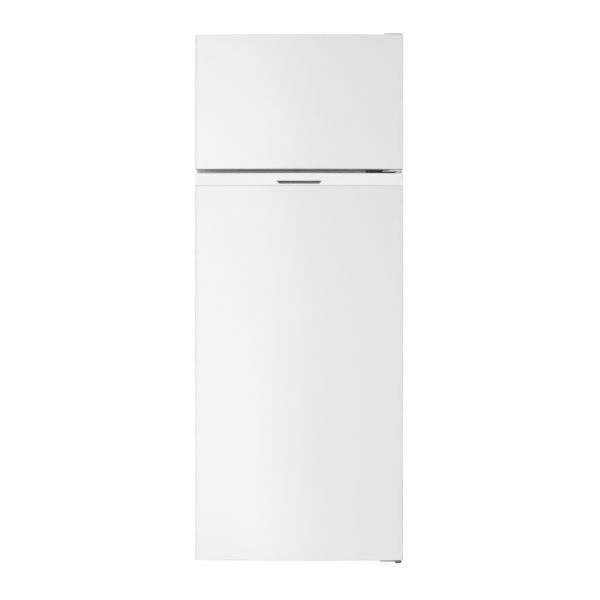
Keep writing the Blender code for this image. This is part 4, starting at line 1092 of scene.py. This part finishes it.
def foot(node, material):
    """A levelling foot: a broad pad, a nut above it and a threaded stem."""
    low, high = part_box(node)
    centre = ((low.x + high.x) / 2, (low.y + high.y) / 2)
    profile = [(0.0150, 0.0), (0.0168, 0.0004), (0.0175, 0.0014), (0.0175, 0.0078), (0.0168, 0.0088)]
    profile += [(0.0130, 0.0102), (0.0088, 0.0106), (0.0085, 0.0112), (0.0085, 0.0172), (0.0078, 0.0180)]
    profile.append((0.0046, 0.0181))
    for i in range(14):
        profile.append((0.0045 if i % 2 else 0.0039, 0.0186 + 0.0012 * i))
    finer(node, turned(profile, centre, "Z", 36), material)


def roller(node, material):
    """A rear wheel with a dished side round its axle hole."""
    low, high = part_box(node)
    centre = ((low.y + high.y) / 2, (low.z + high.z) / 2)
    radius = (high.z - low.z) / 2
    side = ((0.0038, 0.0006), (0.0090, 0.0006), (0.0098, 0.0022), (0.0112, 0.0022), (radius - 0.0012, 0.0))
    rings = [(r, low.x + x) for r, x in side] + [(radius, low.x + 0.0014)]
    mirrored = [(r, low.x + high.x - x) for r, x in rings[::-1]]
    loops = []
    for r, x in rings + mirrored:
        loops.append([in_space(p, "X", x) for p in arc(centre, r, 0, 350, 35)])
    finer(node, solid(loops, ring=True), material)


def feet(m):
    for side in ("left", "right"):
        foot(f"{side}_foot", m["foot"])
        roller(f"{side}_roller", m["foot"])


# Stage


def stage():
    """A pale floor that neither lights nor shadows the object, the surround and the lights."""
    bpy.context.scene.view_settings.view_transform = "Standard"
    bm = bmesh.new()
    bmesh.ops.create_grid(bm, x_segments=24, y_segments=24, size=14)
    mesh = bpy.data.meshes.new("floor")
    bm.to_mesh(mesh)
    bm.free()
    floor = linked("floor", mesh)
    finish = Finish("studio_floor", (0.90, 0.90, 0.90), 0.75, Emission_Color=(1, 1, 1, 1))
    finish.shader.inputs["Emission Strength"].default_value = FLOOR_GLOW
    finish.mottle((0.89, 0.89, 0.89), finish.noise(0.8, 3.0))
    mesh.materials.append(finish.material)
    floor.visible_diffuse = floor.visible_glossy = floor.visible_shadow = False
    backdrop()
    for light in LIGHTS:
        softbox(*light)


def backdrop():
    """A white surround that looks brighter than the light it gives."""
    world = bpy.data.worlds.new("studio")
    world.use_nodes = True
    tree = world.node_tree
    path = tree.nodes.new("ShaderNodeLightPath")
    strength = tree.nodes.new("ShaderNodeMapRange")
    strength.inputs["To Min"].default_value = WORLD_LIGHT
    strength.inputs["To Max"].default_value = WORLD_SEEN
    tree.links.new(path.outputs["Is Camera Ray"], strength.inputs["Value"])
    background = tree.nodes["Background"]
    background.inputs["Color"].default_value = (1, 1, 1, 1)
    tree.links.new(strength.outputs["Result"], background.inputs["Strength"])
    bpy.context.scene.world = world


def softbox(name, place, target, width, height, power, glossy):
    """An area light turned towards its target."""
    light = bpy.data.lights.new(name, "AREA")
    light.shape = "RECTANGLE"
    light.size = width
    light.size_y = height
    light.energy = power
    obj = linked(name, light)
    obj.location = place
    obj.visible_glossy = glossy
    obj.rotation_euler = (Vector(target) - Vector(place)).to_track_quat("-Z", "Y").to_euler()


def camera():
    """A level camera, its lens shifted a little so that the picture's middle is where it should be."""
    data = bpy.data.cameras.new("camera")
    data.sensor_width = SENSOR * 1000
    data.lens = SENSOR * 1000 * CAMERA_DISTANCE / VIEW_WIDTH
    data.shift_y = (VIEW_CENTRE_Z - CAMERA_HEIGHT) / VIEW_WIDTH
    data.clip_start, data.clip_end = 0.05, 100
    obj = linked("camera", data)
    obj.location = (VIEW_CENTRE_X, FRONT - CAMERA_DISTANCE, CAMERA_HEIGHT)
    obj.rotation_euler = (math.pi / 2, 0, 0)
    bpy.context.scene.camera = obj


def main():
    camera()
    stage()
    m = make_materials()
    m["screw_mesh"] = screw_mesh()
    doors(m)
    compartments(m)
    control_box(m)
    casing(m)
    back_fittings(m)
    hinges(m)
    machine_room(m)
    feet(m)


main()
